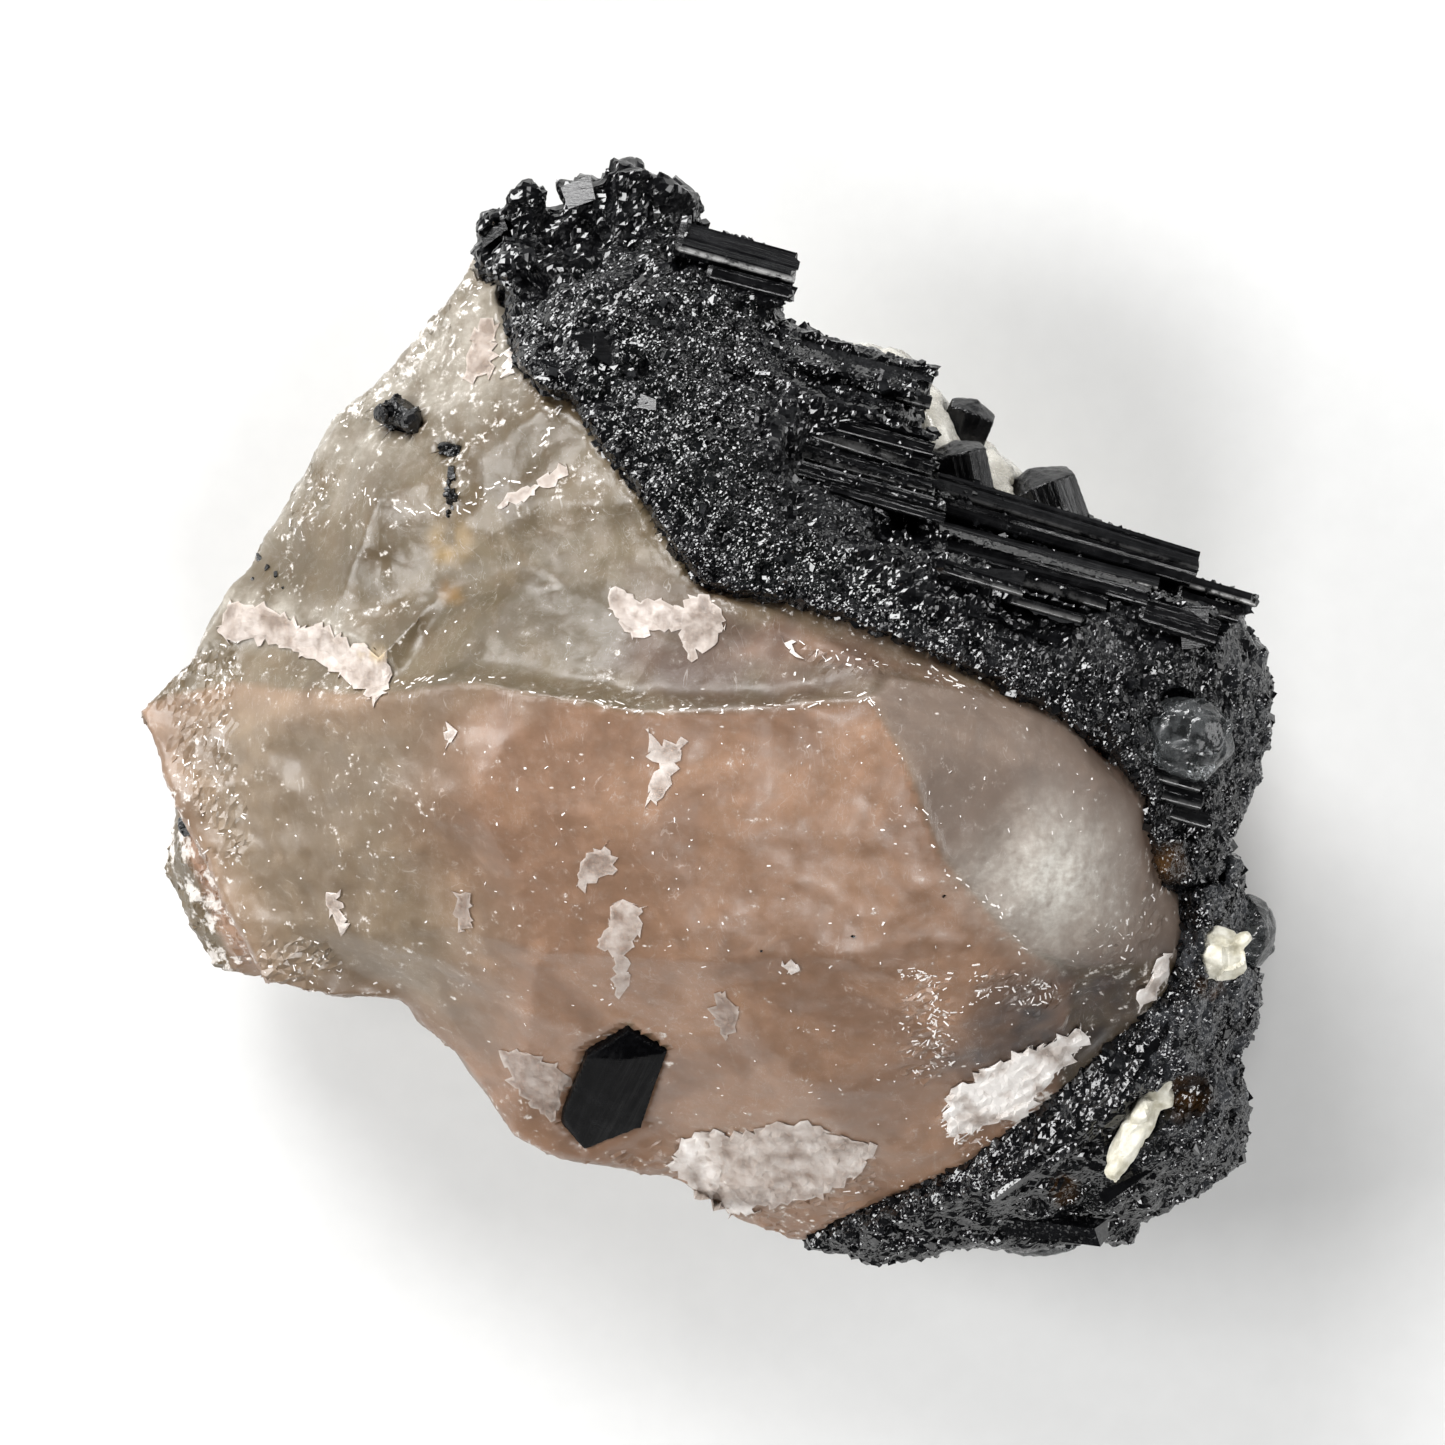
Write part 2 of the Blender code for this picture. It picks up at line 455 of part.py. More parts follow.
def lump(centre, size, seed, turn=0.0, grow=0.0):
    """A broken pale fragment: the hull of seeded points in a box of the given size."""
    turned = Matrix.Rotation(turn, 3, "Z")
    points = []
    for i in range(22):
        raw = unit_point(i, seed)
        spread = Vector((raw.x * size[0], raw.y * size[1], raw.z * size[2]))
        points.append(Vector(centre) + turned @ spread / 2)
    return hull(points, grow)


def unit_point(index, seed):
    """A point near the unit sphere from a spiral, pushed in or out by a fixed noise."""
    high = 1.0 - 2.0 * (index + 0.5) / 22
    ring = math.sqrt(1.0 - high * high)
    angle = 2.399963 * index + seed
    reach = 0.9 + 0.16 * noise.noise(Vector((index * 1.7, seed * 2.3, 0.5)))
    return Vector((ring * math.cos(angle), ring * math.sin(angle), high)) * reach


def room(name, meshes):
    """A collection of hidden helpers that one Boolean cuts with or adds."""
    collection = bpy.data.collections.new(name)
    bpy.context.scene.collection.children.link(collection)
    for i, bm in enumerate(meshes):
        helper = place(f"{name}_{i}", bm)
        bpy.context.scene.collection.objects.unlink(helper)
        collection.objects.link(helper)
    return collection


def boolean(piece, operation, collection):
    """Adds a Boolean with everything in a collection."""
    modifier = piece.modifiers.new(collection.name, "BOOLEAN")
    modifier.operation = operation
    modifier.operand_type = "COLLECTION"
    modifier.collection = collection
    modifier.solver = "EXACT"


def smooth_columns(grow=0.0):
    """Every smooth crystal of the upper mass."""
    return [column(end, grow) for end in COLUMN_ENDS.values()] + [knob(*k, grow=grow) for k in COLUMN_KNOBS]


def column_mass(grow=0.0):
    """The rough body of the upper mass before its smooth columns are added."""
    return relief(COLUMNS_RIM, COLUMNS_CROWN, COLUMNS_BELLY, grow)


def flank_mass(grow=0.0):
    """The rough body of the lower right mass."""
    return relief(FLANK_RIM, FLANK_CROWN, FLANK_BELLY, grow)


def quartz_mass(grow=0.0):
    """The smoky quartz before anything is let into it."""
    crown = [
        QUARTZ_CREST, QUARTZ_CREST_FOOT, QUARTZ_SHOULDER, QUARTZ_BEVEL, QUARTZ_UPPER_STEP,
        QUARTZ_LEFT_LEDGE, QUARTZ_LEFT_LEDGE_FOOT, QUARTZ_SEAM, QUARTZ_FRINGE,
        *QUARTZ_TOP_FACETS, *QUARTZ_LOWER_FACETS,
    ]
    return relief(QUARTZ_RIM, crown, foot_lines(QUARTZ_FOOT) + QUARTZ_BELLY, grow)


def lone_crystals(grow=0.0):
    """The schorl crystals that stand alone, by name."""
    run = Vector(FRONT_CRYSTAL_RUN)
    inner_end = [tuple(Vector(p) + run) for p in FRONT_CRYSTAL]
    made = {"schorl_front": hull(FRONT_CRYSTAL + inner_end, grow)}
    for name, (foot, tip, width, depth, blunt) in CRYSTALS.items():
        made[name] = prism(foot, tip, width, depth, blunt, sides=9, turn=0.4, grow=grow)
    return made


def pale_lump(name, grow=0.0):
    """One of the pale fragments."""
    centre, size, _ = PALE_LUMPS[name]
    turn = math.radians(FELDSPAR_BLADE_TURN_DEG) if name == "feldspar_blade" else 0.0
    return lump(centre, size, len(name), turn, grow)


def build():
    """All the minerals, each cut back where another grew first."""
    schorl = mineral("schorl", SCHORL_BLACK, 0.25)
    smoky = mineral("smoky_quartz", SMOKY_BROWN, 0.15, 0.8)
    pale = mineral("pale_quartz", PALE_QUARTZ, 0.2, 0.6)
    feldspar = mineral("feldspar", FELDSPAR_CREAM, 0.5)
    pale_materials = {"pale_quartz": pale, "feldspar": feldspar}

    columns_room = room("columns_room", [column_mass(GAP)] + smooth_columns(GAP))
    flank_room = room("flank_room", [flank_mass(GAP)])
    quartz_room = room("quartz_room", [quartz_mass(GAP), hull(QUARTZ_SPUR, GAP)])
    small = list(lone_crystals(GAP).values())
    for centre, width, count in CLUMPS.values():
        small += clump(centre, width, count, GAP)
    small_room = room("small_room", small)
    pale_room = room("pale_room", [pale_lump(name, GAP) for name in PALE_LUMPS])

    body = quartz_mass()
    chip(body, QUARTZ_GRAIN, QUARTZ_BITE, QUARTZ_SIDE_BITE, 1)
    quartz = place("smoky_quartz", body, smoky)
    boolean(quartz, "UNION", room("quartz_spur", [hull(QUARTZ_SPUR)]))
    for cutter in (columns_room, flank_room, small_room, pale_room):
        boolean(quartz, "DIFFERENCE", cutter)

    body = column_mass()
    chip(body, SCHORL_GRAIN, SCHORL_BITE, SCHORL_SIDE_BITE, 2, [quartz_mass(2 * GAP)])
    columns = place("schorl_columns", body, schorl)
    boolean(columns, "DIFFERENCE", room("column_pits", [column(pit) for pit in COLUMN_PITS]))
    boolean(columns, "UNION", room("smooth_columns", smooth_columns()))
    boolean(columns, "DIFFERENCE", small_room)
    boolean(columns, "DIFFERENCE", pale_room)

    body = flank_mass()
    chip(body, SCHORL_GRAIN, SCHORL_BITE, SCHORL_SIDE_BITE, 3, [quartz_mass(2 * GAP), column_mass(2 * GAP)])
    flank = place("schorl_flank", body, schorl)
    pit = bmesh.new()
    bmesh.ops.create_icosphere(pit, subdivisions=2, radius=FLANK_PIT[3])
    bmesh.ops.translate(pit, verts=pit.verts, vec=FLANK_PIT[:3])
    for cutter in (room("flank_pit", [pit]), columns_room, small_room, pale_room):
        boolean(flank, "DIFFERENCE", cutter)

    body = relief(REAR_RIM, REAR_CROWN, foot_lines(REAR_FOOT))
    chip(body, REAR_GRAIN, REAR_BITE, REAR_SIDE_BITE, 4)
    rear = place("rear_quartz", body, pale)
    for cutter in (columns_room, flank_room, quartz_room, small_room, pale_room):
        boolean(rear, "DIFFERENCE", cutter)

    for name, body in lone_crystals().items():
        place(name, body, schorl)
    for name, (centre, width, count) in CLUMPS.items():
        first, *others = clump(centre, width, count)
        knot = place(name, first, schorl)
        boolean(knot, "UNION", room(name + "_others", others))
    for name, (_, _, kind) in PALE_LUMPS.items():
        place(name, pale_lump(name), pale_materials[kind])


clear_scene()
build()
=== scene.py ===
import math
from functools import partial

import bpy
import numpy as np
from mathutils import Matrix, Vector, geometry, noise
from mathutils.bvhtree import BVHTree


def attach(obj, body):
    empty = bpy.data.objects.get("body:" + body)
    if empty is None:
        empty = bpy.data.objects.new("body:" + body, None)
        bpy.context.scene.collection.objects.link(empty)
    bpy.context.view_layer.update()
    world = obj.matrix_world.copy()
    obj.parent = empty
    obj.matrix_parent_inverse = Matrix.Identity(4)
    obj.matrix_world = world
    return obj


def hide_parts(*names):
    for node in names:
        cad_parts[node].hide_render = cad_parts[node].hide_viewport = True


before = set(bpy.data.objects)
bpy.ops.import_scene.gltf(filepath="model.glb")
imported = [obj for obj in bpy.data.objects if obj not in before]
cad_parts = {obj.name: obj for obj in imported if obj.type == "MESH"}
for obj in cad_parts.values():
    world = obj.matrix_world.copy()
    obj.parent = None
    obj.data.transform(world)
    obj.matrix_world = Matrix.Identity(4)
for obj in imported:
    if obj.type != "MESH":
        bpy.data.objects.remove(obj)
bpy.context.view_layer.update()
# The facets lean by a noise that is random unless it is given a seed
noise.seed_set(7)

MM = 0.001
ROOT = "root"
COLUMN_SLOPE = math.radians(-16.0)
COLUMN_PLUNGE = math.radians(-4.0)
COLUMN_AXIS = Vector((
    math.cos(COLUMN_SLOPE) * math.cos(COLUMN_PLUNGE),
    math.sin(COLUMN_SLOPE) * math.cos(COLUMN_PLUNGE),
    math.sin(COLUMN_PLUNGE),
))
# Edge length of the fine mesh on each mineral, and how far its points jut where it is sugary or crushed.
# CRUSHED is the share from which the quartz counts as crushed
QUARTZ_CELL = 0.325
SCHORL_CELL = 0.21
CRYSTAL_CELL = 0.12
REAR_CELL = 0.4
JOLT = 0.04
CRUSHED = 0.35
SHATTER = 0.05
# How much each mineral bends light, and how deep its finest grain seems, in metres
QUARTZ_IOR = 1.544
SCHORL_IOR = 1.64
FELDSPAR_IOR = 1.53
BUMP_DEPTH = 0.0001
# How the shell-like breaks of the quartz are drawn out along X, Y and Z
LARGE_SHELLS = (1.3, 0.8, 1.0)
SMALL_SHELLS = (1.2, 0.8, 1.0)
# What lies lower than this rests on the floor and stays flat
RESTED = 0.3
# Heights of the broad face and of the columns, for a place that a ray misses
FACE_LEVEL = 18.0
COLUMN_LEVEL = 25.0
# Settings that many nodes share
COLOURS = {"data_type": "RGBA"}
TIMES, PLUS, MINUS, LARGER, SIZE_OF, SCALED = (
    {"operation": name} for name in ("MULTIPLY", "ADD", "SUBTRACT", "MAXIMUM", "ABSOLUTE", "SCALE"))

# Outlines on the broad face, as (x, y) seen from above
LOWER_FACE = [
    (-31.5, 0.5), (-26.0, 1.6), (-21.5, 1.0), (-17.2, 1.0), (-12.5, 1.7), (-8.0, 0.8), (-3.6, 0.0), (0.8, 0.1),
    (5.2, 0.4), (8.9, 0.7), (10.7, -2.5), (12.6, -7.5), (15.6, -11.1), (17.3, -12.7), (20.0, -14.5),
    (19.0, -22.0), (8.0, -30.0), (-12.0, -26.0), (-26.0, -16.0),
]
LEFT_OF_FACE = [(-33.0, 3.0), (-14.0, 0.5), (-15.0, -6.0), (-12.0, -12.0), (-13.0, -18.0), (-26.0, -18.0)]
RIGHT_FLAKE = [
    (8.9, 0.7), (10.7, -2.5), (12.6, -7.5), (15.6, -11.1), (17.3, -12.7), (20.0, -13.6), (25.6, -13.4),
    (27.4, -8.0), (24.4, -2.4), (17.4, 0.2), (10.0, 1.9),
]
CLOUD_IN_FLAKE = [(14.5, -8.6), (18.2, -5.2), (21.2, -6.6), (21.6, -10.6), (18.6, -12.6), (16.4, -11.0)]
BEVEL_BAND = [(3.9, 5.0), (8.9, 3.3), (12.6, 1.6), (16.8, -0.4), (19.4, -2.4), (16.6, -0.2), (10.4, 2.6),
              (5.2, 2.8), (1.0, 3.0)]
DARK_RIGHT = [(15.5, -15.0), (20.0, -13.4), (24.5, -13.0), (24.4, -16.4), (20.6, -19.6), (15.4, -21.6), (12.6, -19.0)]
UPPER_PALE = [(-12.0, 27.0), (-9.9, 20.6), (-10.6, 17.4), (-14.6, 14.6), (-18.6, 13.6), (-22.6, 10.4),
              (-28.0, 6.0), (-24.0, 16.0)]
LEFT_PALE = [(-29.0, 6.0), (-24.0, 7.4), (-18.6, 4.6), (-17.0, 2.0), (-24.0, 3.8), (-29.4, 3.4)]
UMBER = [(-3.4, 7.4), (1.6, 5.8), (9.0, 4.6), (16.0, 1.8), (20.0, -1.4), (15.0, -1.6), (9.0, 0.6), (-1.4, 0.6),
         (-5.0, 2.6)]
OLIVE = [(-14.6, 10.4), (-4.6, 10.6), (-2.0, 5.4), (-9.4, 0.6), (-17.0, 1.0), (-14.4, 4.4)]
# Where the broken schorl glitters most
GLITTERING = [
    (-4.4, 21.4), (-0.6, 24.0), (4.2, 20.6), (2.6, 17.4), (2.2, 15.4), (4.6, 10.6), (7.6, 6.6), (4.0, 5.4), (-0.8, 7.6),
    (-2.6, 12.4), (-4.4, 17.0),
]
# Where it lies black and hollow instead
BLACK_HOLLOWS = [
    [(2.3, 16.2), (3.4, 13.6), (4.2, 11.6), (8.6, 10.8), (12.2, 10.4), (12.2, 15.4), (7.0, 17.4)],
    [(5.6, 10.0), (12.6, 8.6), (20.0, 6.2), (24.0, 5.2), (22.0, 3.0), (15.0, 4.4), (9.0, 6.8)],
    [(-8.0, 20.4), (-6.2, 19.4), (-3.6, 18.0), (-3.2, 19.8), (-5.6, 21.4)],
    [(-8.4, 26.2), (-4.0, 28.2), (-3.8, 26.8), (-7.6, 24.8)],
    [(17.4, -20.6), (20.2, -19.0), (23.0, -21.4), (22.2, -25.4), (18.2, -26.6), (16.6, -23.4)],
]
# Where the quartz is crushed and glints in fine flats: outline, how white it is, and how many loose white splinters
# lie there: crumbs, and also painted highlights for its glints
SHATTERED = [
    ([(-12.4, 26.4), (-14.6, 23.0), (-18.6, 18.4), (-20.6, 16.0), (-19.4, 15.4), (-16.4, 18.0), (-13.4, 21.4),
      (-11.4, 24.4)], 0.9, 90),
    ([(-28.8, 3.8), (-30.2, 0.8), (-28.6, -4.0), (-26.4, -8.6), (-25.0, -7.6), (-25.8, -1.0), (-25.9, 4.0)], 0.2, 90),
    ([(-29.4, -3.6), (-31.4, -6.8), (-31.4, -10.4), (-28.8, -14.6), (-24.4, -16.0), (-26.9, -8.6)], 1.0, 60),
    ([(-25.0, -15.2), (-24.4, -12.2), (-20.6, -12.4), (-19.4, -15.6)], 0.4, 30),
    ([(-8.6, -25.2), (-0.1, -22.9), (3.0, -22.6), (9.0, -23.4), (9.6, -26.6), (7.4, -29.6), (1.9, -28.6)], 0.35, 40),
    ([(12.7, -22.1), (13.9, -20.2), (15.7, -19.9), (17.5, -18.2), (20.5, -17.1), (20.8, -17.7), (17.9, -22.6),
      (13.9, -24.4)], 0.9, 60),
    ([(10.6, -14.0), (13.2, -14.0), (13.6, -19.0), (11.2, -20.4), (10.4, -17.2)], 0.5, 60),
    ([(14.0, -13.4), (17.6, -14.0), (20.4, -15.0), (18.0, -16.4), (14.4, -15.2)], 0.4, 40),
    ([(20.0, -11.6), (22.8, -11.0), (24.6, -7.6), (24.9, -12.4), (22.4, -13.6)], 0.3, 30),
    ([(5.0, 3.8), (9.8, 3.0), (9.6, 1.6), (6.0, 2.6)], 0.1, 16),
    ([(-21.6, 13.6), (-24.0, 10.0), (-22.4, 9.4), (-19.8, 13.0)], 0.6, 24),
]

# Flakes that lift off the face: outline corners, how far they stand up, and how white they are from 0 to 1
FLAKES = {
    "flake_ridge": ([(-5.3, 6.5), (-4.6, 6.9), (-3.6, 6.1), (-2.6, 6.3), (-1.4, 5.6), (-0.5, 6.4), (0.3, 6.0),
                     (1.3, 4.9), (0.2, 3.5), (-0.7, 2.8), (-1.5, 4.4), (-2.7, 4.5), (-3.6, 3.9),
                     (-5.2, 5.2)], 0.1, 0.45),
    "flake_centre": ([(-3.0, -0.9), (-2.0, -1.6), (-1.2, -1.3), (-1.3, -2.4), (-1.9, -3.8), (-2.7, -5.0), (-3.2, -4.9),
                      (-3.0, -3.5), (-2.5, -2.7), (-3.2, -2.2)], 0.1, 0.6),
    "flake_middle": ([(-5.5, -7.0), (-4.9, -7.6), (-4.9, -8.6), (-5.7, -9.0), (-6.8, -9.5), (-7.0, -8.5),
                      (-6.4, -7.6)], 0.1, 0.45),
    "flake_low": ([(-4.7, -9.9), (-3.3, -10.4), (-3.5, -11.6), (-4.2, -12.8), (-4.1, -14.4), (-4.6, -15.4),
                   (-5.0, -15.0), (-4.9, -13.3), (-5.8, -12.4), (-5.2, -11.2)], 0.1, 0.5),
    "flake_oval": ([(0.4, -15.4), (1.2, -15.0), (1.7, -15.8), (1.5, -17.2), (0.9, -17.9), (0.5, -17.0)], 0.15, 0.2),
    "flake_right": ([(4.0, -13.4), (4.8, -13.3), (5.2, -14.0), (4.5, -14.2)], 0.2, 0.6),
    "flake_upper": ([(-11.3, 11.2), (-10.4, 12.0), (-9.0, 12.5), (-7.5, 13.5), (-7.4, 13.0), (-8.9, 12.0),
                     (-10.2, 11.2)], 0.12, 0.5),
    "flake_left": ([(-14.1, -1.0), (-13.7, -0.6), (-13.5, -1.4), (-13.9, -1.8)], 0.15, 0.8),
    "flake_left_low": ([(-13.6, -9.7), (-12.9, -9.9), (-12.7, -11.4), (-13.3, -11.8), (-13.7, -10.8)], 0.2, 0.3),
    "flake_left_mid": ([(-20.7, -9.8), (-20.2, -9.6), (-19.6, -11.6), (-19.8, -12.2), (-20.5, -11.2)], 0.2, 0.5),
    "flake_front": ([(-11.4, -18.4), (-9.4, -18.6), (-7.8, -19.6), (-7.4, -20.6), (-8.6, -22.4), (-9.4, -22.0),
                     (-10.9, -20.2)], 0.15, 0.3),
    "flake_seam": ([(3.9, 4.0), (4.6, 3.3), (5.1, 3.0), (4.8, 3.8)], 0.15, 0.8),
    "window_first": ([(-12.2, 21.4), (-11.3, 21.2), (-11.7, 18.4), (-13.2, 18.2), (-12.9, 19.8)], 0.2, 0.3),
    "window_second": ([(-10.9, 19.6), (-10.4, 20.0), (-10.5, 18.5), (-11.2, 18.3)], 0.2, 0.8),
    "left_tail": ([(-23.0, 4.8), (-21.2, 5.0), (-18.9, 3.6), (-17.4, 3.1), (-17.0, 2.2), (-17.3, 1.0), (-18.0, 0.3),
                   (-18.4, 1.2), (-19.6, 1.8), (-20.8, 2.6), (-22.6, 3.4)], 0.25, 0.55),
    "left_ledge": ([(-26.2, 6.1), (-24.4, 5.9), (-22.4, 5.2), (-22.2, 3.5), (-24.6, 3.8), (-26.2, 3.9),
                    (-27.0, 4.6)], 0.25, 0.5),
    "crust": ([(12.9, -22.0), (13.4, -20.4), (14.4, -20.0), (15.1, -19.2), (16.4, -18.9), (17.3, -18.1), (18.6, -17.9),
               (20.3, -17.1), (20.8, -17.5), (19.8, -18.9), (18.4, -20.2), (17.8, -21.9), (16.2, -22.2), (14.8, -22.8),
               (13.6, -23.4)], 0.45, 1.0),
    "sliver": ([(23.5, -16.3), (24.3, -15.6), (25.2, -14.0), (25.1, -13.0), (24.6, -13.2), (24.2, -14.6),
                (23.2, -15.6)], 0.4, 1.0),
    "bottom_flake": ([(-1.9, -24.7), (-0.2, -22.9), (1.7, -23.1), (3.5, -22.5), (5.2, -22.3), (7.6, -23.2),
                      (9.2, -23.6),
                      (8.8, -24.8), (6.8, -26.4), (4.4, -27.2), (1.9, -27.2), (-0.3, -26.0)], 0.25, 0.55),
    "bottom_rim": ([(-2.2, -24.9), (-0.6, -23.0), (0.8, -23.0), (0.9, -24.6), (1.4, -26.4), (3.0, -27.6),
                    (1.6, -27.8), (-0.8, -26.4)],
                   0.3, 0.8),
}
# The way the fibres of the flakes run, as a direction (x, y), and how far up a flake lifts that shows them strongly
CRUST_GRAIN = (0.86, 0.51)
THICK_FLAKE = 0.39
# Lines along which tiny slivers gather: points (x, y), and how many
SLIVER_LINES = [
    ([(8.9, 0.7), (10.7, -2.5), (12.1, -6.6), (12.9, -8.6), (15.3, -10.1), (16.4, -12.0), (17.4, -13.3)], 26),
    ([(-17.1, 1.6), (-12.5, 1.9), (-8.0, 1.0), (-3.6, 0.1), (0.8, 0.2), (5.2, 0.5), (8.9, 0.8)], 60),
    ([(10.4, -14.0), (12.4, -14.2), (12.2, -16.4), (12.8, -19.2)], 60),
    ([(13.0, -16.4), (16.0, -14.6), (19.4, -14.8)], 24),
    ([(10.6, 2.8), (16.8, -0.1)], 20),
    ([(-13.6, 11.4), (-9.6, 13.0), (-7.6, 17.0)], 26),
    ([(-20.4, 12.6), (-15.8, 10.8), (-12.0, 11.4)], 30),
]
# Where iron has stained the stone: centre (x, y) and reach
IRON_STAINS = [(-13.8, 6.6, 1.0), (25.0, -8.1, 1.3), (26.3, -20.9, 1.6), (19.6, -26.0, 1.0), (27.4, -14.8, 0.9)]
YELLOW_STAINS = [(-18.1, 3.4, 0.9), (-13.8, 6.4, 0.8), (-14.0, 9.2, 1.6)]

# Smooth columns that show in the schorl: right end and top (x, y, z), length, width, depth, how steeply the top
# falls away north as a share of the width, and how pale its top edge is painted: partly a bruise, partly a painted
# highlight for the light that the chipped edge catches
BARS = [
    (4.9, 24.0, 26.4, 6.8, 1.9, 3.6, 0.50, 0.5), (4.8, 22.7, 26.5, 5.0, 0.8, 3.0, 0.05, 0.0),
    (12.2, 17.7, 25.9, 8.2, 1.2, 3.8, 0.42, 0.9), (12.1, 16.8, 26.7, 7.2, 0.7, 3.6, 0.30, 0.2),
    (12.0, 15.0, 27.6, 4.4, 0.6, 3.0, 0.08, 0.0),
    (12.3, 14.2, 28.0, 6.0, 0.8, 3.0, 0.04, 0.0), (12.2, 13.2, 27.8, 7.2, 1.0, 3.0, 0.06, 0.1),
    (12.4, 12.2, 28.2, 8.2, 0.9, 3.0, 0.10, 0.1), (12.3, 11.2, 28.6, 8.4, 0.9, 3.0, 0.04, 0.0),
    (12.8, 10.5, 28.7, 6.8, 0.6, 3.0, 0.08, 0.0),
    (26.8, 8.2, 23.9, 15.0, 1.2, 3.6, 0.35, 0.1), (26.5, 7.3, 25.0, 14.8, 1.0, 3.6, 0.05, 0.0),
    (24.4, 7.0, 26.6, 13.4, 0.8, 3.4, 0.45, 1.0), (23.8, 6.2, 27.4, 12.2, 0.9, 3.2, 0.05, 0.0),
    (21.6, 5.9, 28.4, 8.4, 0.8, 2.4, 0.10, 0.1),
    (17.0, 6.6, 32.3, 4.9, 0.8, 2.4, 0.40, 0.2), (20.4, 5.0, 31.0, 4.4, 0.5, 2.0, 0.1, 0.2),
    (29.9, 6.1, 24.3, 4.4, 0.7, 2.2, 0.35, 1.0), (28.9, 5.3, 25.2, 3.6, 0.9, 2.6, 0.1, 0.2),
    (27.6, 4.3, 27.0, 4.4, 1.5, 3.0, 0.06, 0.0),
    (27.0, -4.0, 27.0, 4.4, 0.8, 2.4, 0.30, 0.2), (27.0, -4.9, 26.8, 4.2, 0.9, 2.4, 0.15, 0.1),
    (27.2, -5.9, 26.2, 4.2, 0.9, 2.4, 0.30, 0.1),
]
# The way the crystals run in the lower right mass, and its large ones: (x, y), heading in degrees, length and width
FLANK_HEADING = (0.62, 0.74, 0.2)
FLANK_NEEDLES = [
    (18.2, -28.2, 6.0, 7.6, 1.2), (23.4, -25.4, 24.0, 4.6, 0.9), (24.2, -18.4, 52.0, 3.6, 0.6),
    (22.6, -20.4, 50.0, 4.0, 0.5),
    (20.0, -23.6, 44.0, 3.6, 0.6), (17.0, -25.6, 30.0, 3.4, 0.5),
]
# The lumpy crest at the top left, where the schorl has broken in large flats
CREST = [(-14.0, 30.6), (-0.5, 31.5), (0.8, 27.8), (-2.6, 26.6), (-6.0, 24.2), (-9.6, 22.4), (-13.4, 23.4)]
# Flat cleaved faces bared in the schorl: outline (x, y), lift of the middle, and slope east and north
CLEAVED = [
    ([(-7.3, 20.4), (-5.6, 20.6), (-3.3, 18.6), (-3.0, 17.9), (-4.2, 18.2), (-6.0, 19.2)], -0.1, (-0.25, -0.40)),
    ([(-4.1, 17.4), (-2.7, 16.9), (-2.7, 16.3), (-3.6, 16.4)], 0.15, (0.1, -0.45)),
    ([(-12.4, 26.9), (-11.3, 27.6), (-10.8, 26.4), (-12.2, 25.4)], 0.15, (0.45, -0.25)),
    ([(-7.9, 28.6), (-6.3, 29.3), (-6.0, 27.9), (-7.5, 27.4)], 0.35, (0.15, -0.55)),
    ([(25.7, 5.8), (27.2, 5.8), (27.2, 3.6), (25.8, 3.4)], 0.1, (0.10, 0.25)),
    ([(12.5, 7.9), (17.2, 7.6), (17.0, 6.9), (12.6, 7.2)], 0.1, (-0.1, -0.55)),
]
# Crystals of their own: foot and tip
CRYSTALS = {
    "schorl_front": ((-6.2, -23.6, 15.2), (-3.4, -17.6, 22.9)),
    "schorl_rear_large": ((20.2, 7.6, 11.0), (17.9, 13.6, 12.6)),
    "schorl_rear_small": ((13.4, 13.6, 11.4), (15.0, 17.4, 12.8)),
    "schorl_rear_middle": ((14.6, 10.6, 16.4), (13.6, 15.0, 17.6)),
    "schorl_left_edge": ((-26.2, -5.4, 12.0), (-29.3, -6.4, 11.6)),
}
# Clumps of short crystals, and how wide their flats are
CLUMPS = {"schorl_upper_left": 1.3, "schorl_speck": 0.7, "schorl_speck_low": 0.5}
# Pale pieces that the grains and needles keep off
PALE_KNOBS = ["feldspar_chip", "feldspar_blade", "quartz_bead"]
# Crumbs of schorl in the quartz: (x, y) and size
BLACK_SPECKS = [
    (-13.8, 13.1, 0.6), (-13.7, 12.8, 0.45), (-13.9, 12.5, 0.35), (-14.0, 12.2, 0.3), (-13.7, 11.2, 0.3),
    (-13.9, 10.9, 0.3),
    (-14.0, 10.7, 0.2), (-25.0, 8.9, 0.3), (-24.6, 8.6, 0.4), (-24.1, 8.0, 0.3), (-23.6, 7.6, 0.35), (-23.2, 6.9, 0.2),
    (-24.9, 7.4, 0.2), (-4.4, -19.8, 0.3), (3.0, -12.8, 0.15), (7.9, -12.0, 0.2), (12.8, -9.8, 0.2),
]
# The studio, in metres but for the paper: soft boxes by name, place, size and power, and what they point at
PAPER_REACH = 1500
SOFT_BOXES = [
    ("soft box north", (-0.22, 0.48, 0.38), 0.34, 5.4),
    ("soft box left", (-0.50, 0.02, 0.36), 0.30, 3.2),
    ("soft box right", (0.52, 0.06, 0.32), 0.30, 1.1),
    ("soft box south", (0.05, -0.45, 0.62), 0.30, 3.3),
]
LIT_SPOT = (0, 0, 0.015)
# The camera: what the frame's middle shows, the height that the view is sized at, and how wide it is there
VIEW_MIDDLE = (0.0009, -0.0005)
FACE_HEIGHT = 0.017
VIEW_WIDTH = 0.079475
CAMERA_DISTANCE = 0.60
SENSOR = 36.0


def linear(colour):
    """An sRGB hex colour as the linear colour that a shader takes."""
    parts = [int(colour[i:i + 2], 16) / 255 for i in (1, 3, 5)]
    return tuple(p / 12.92 if p <= 0.04045 else ((p + 0.055) / 1.055) ** 2.4 for p in parts) + (1.0,)


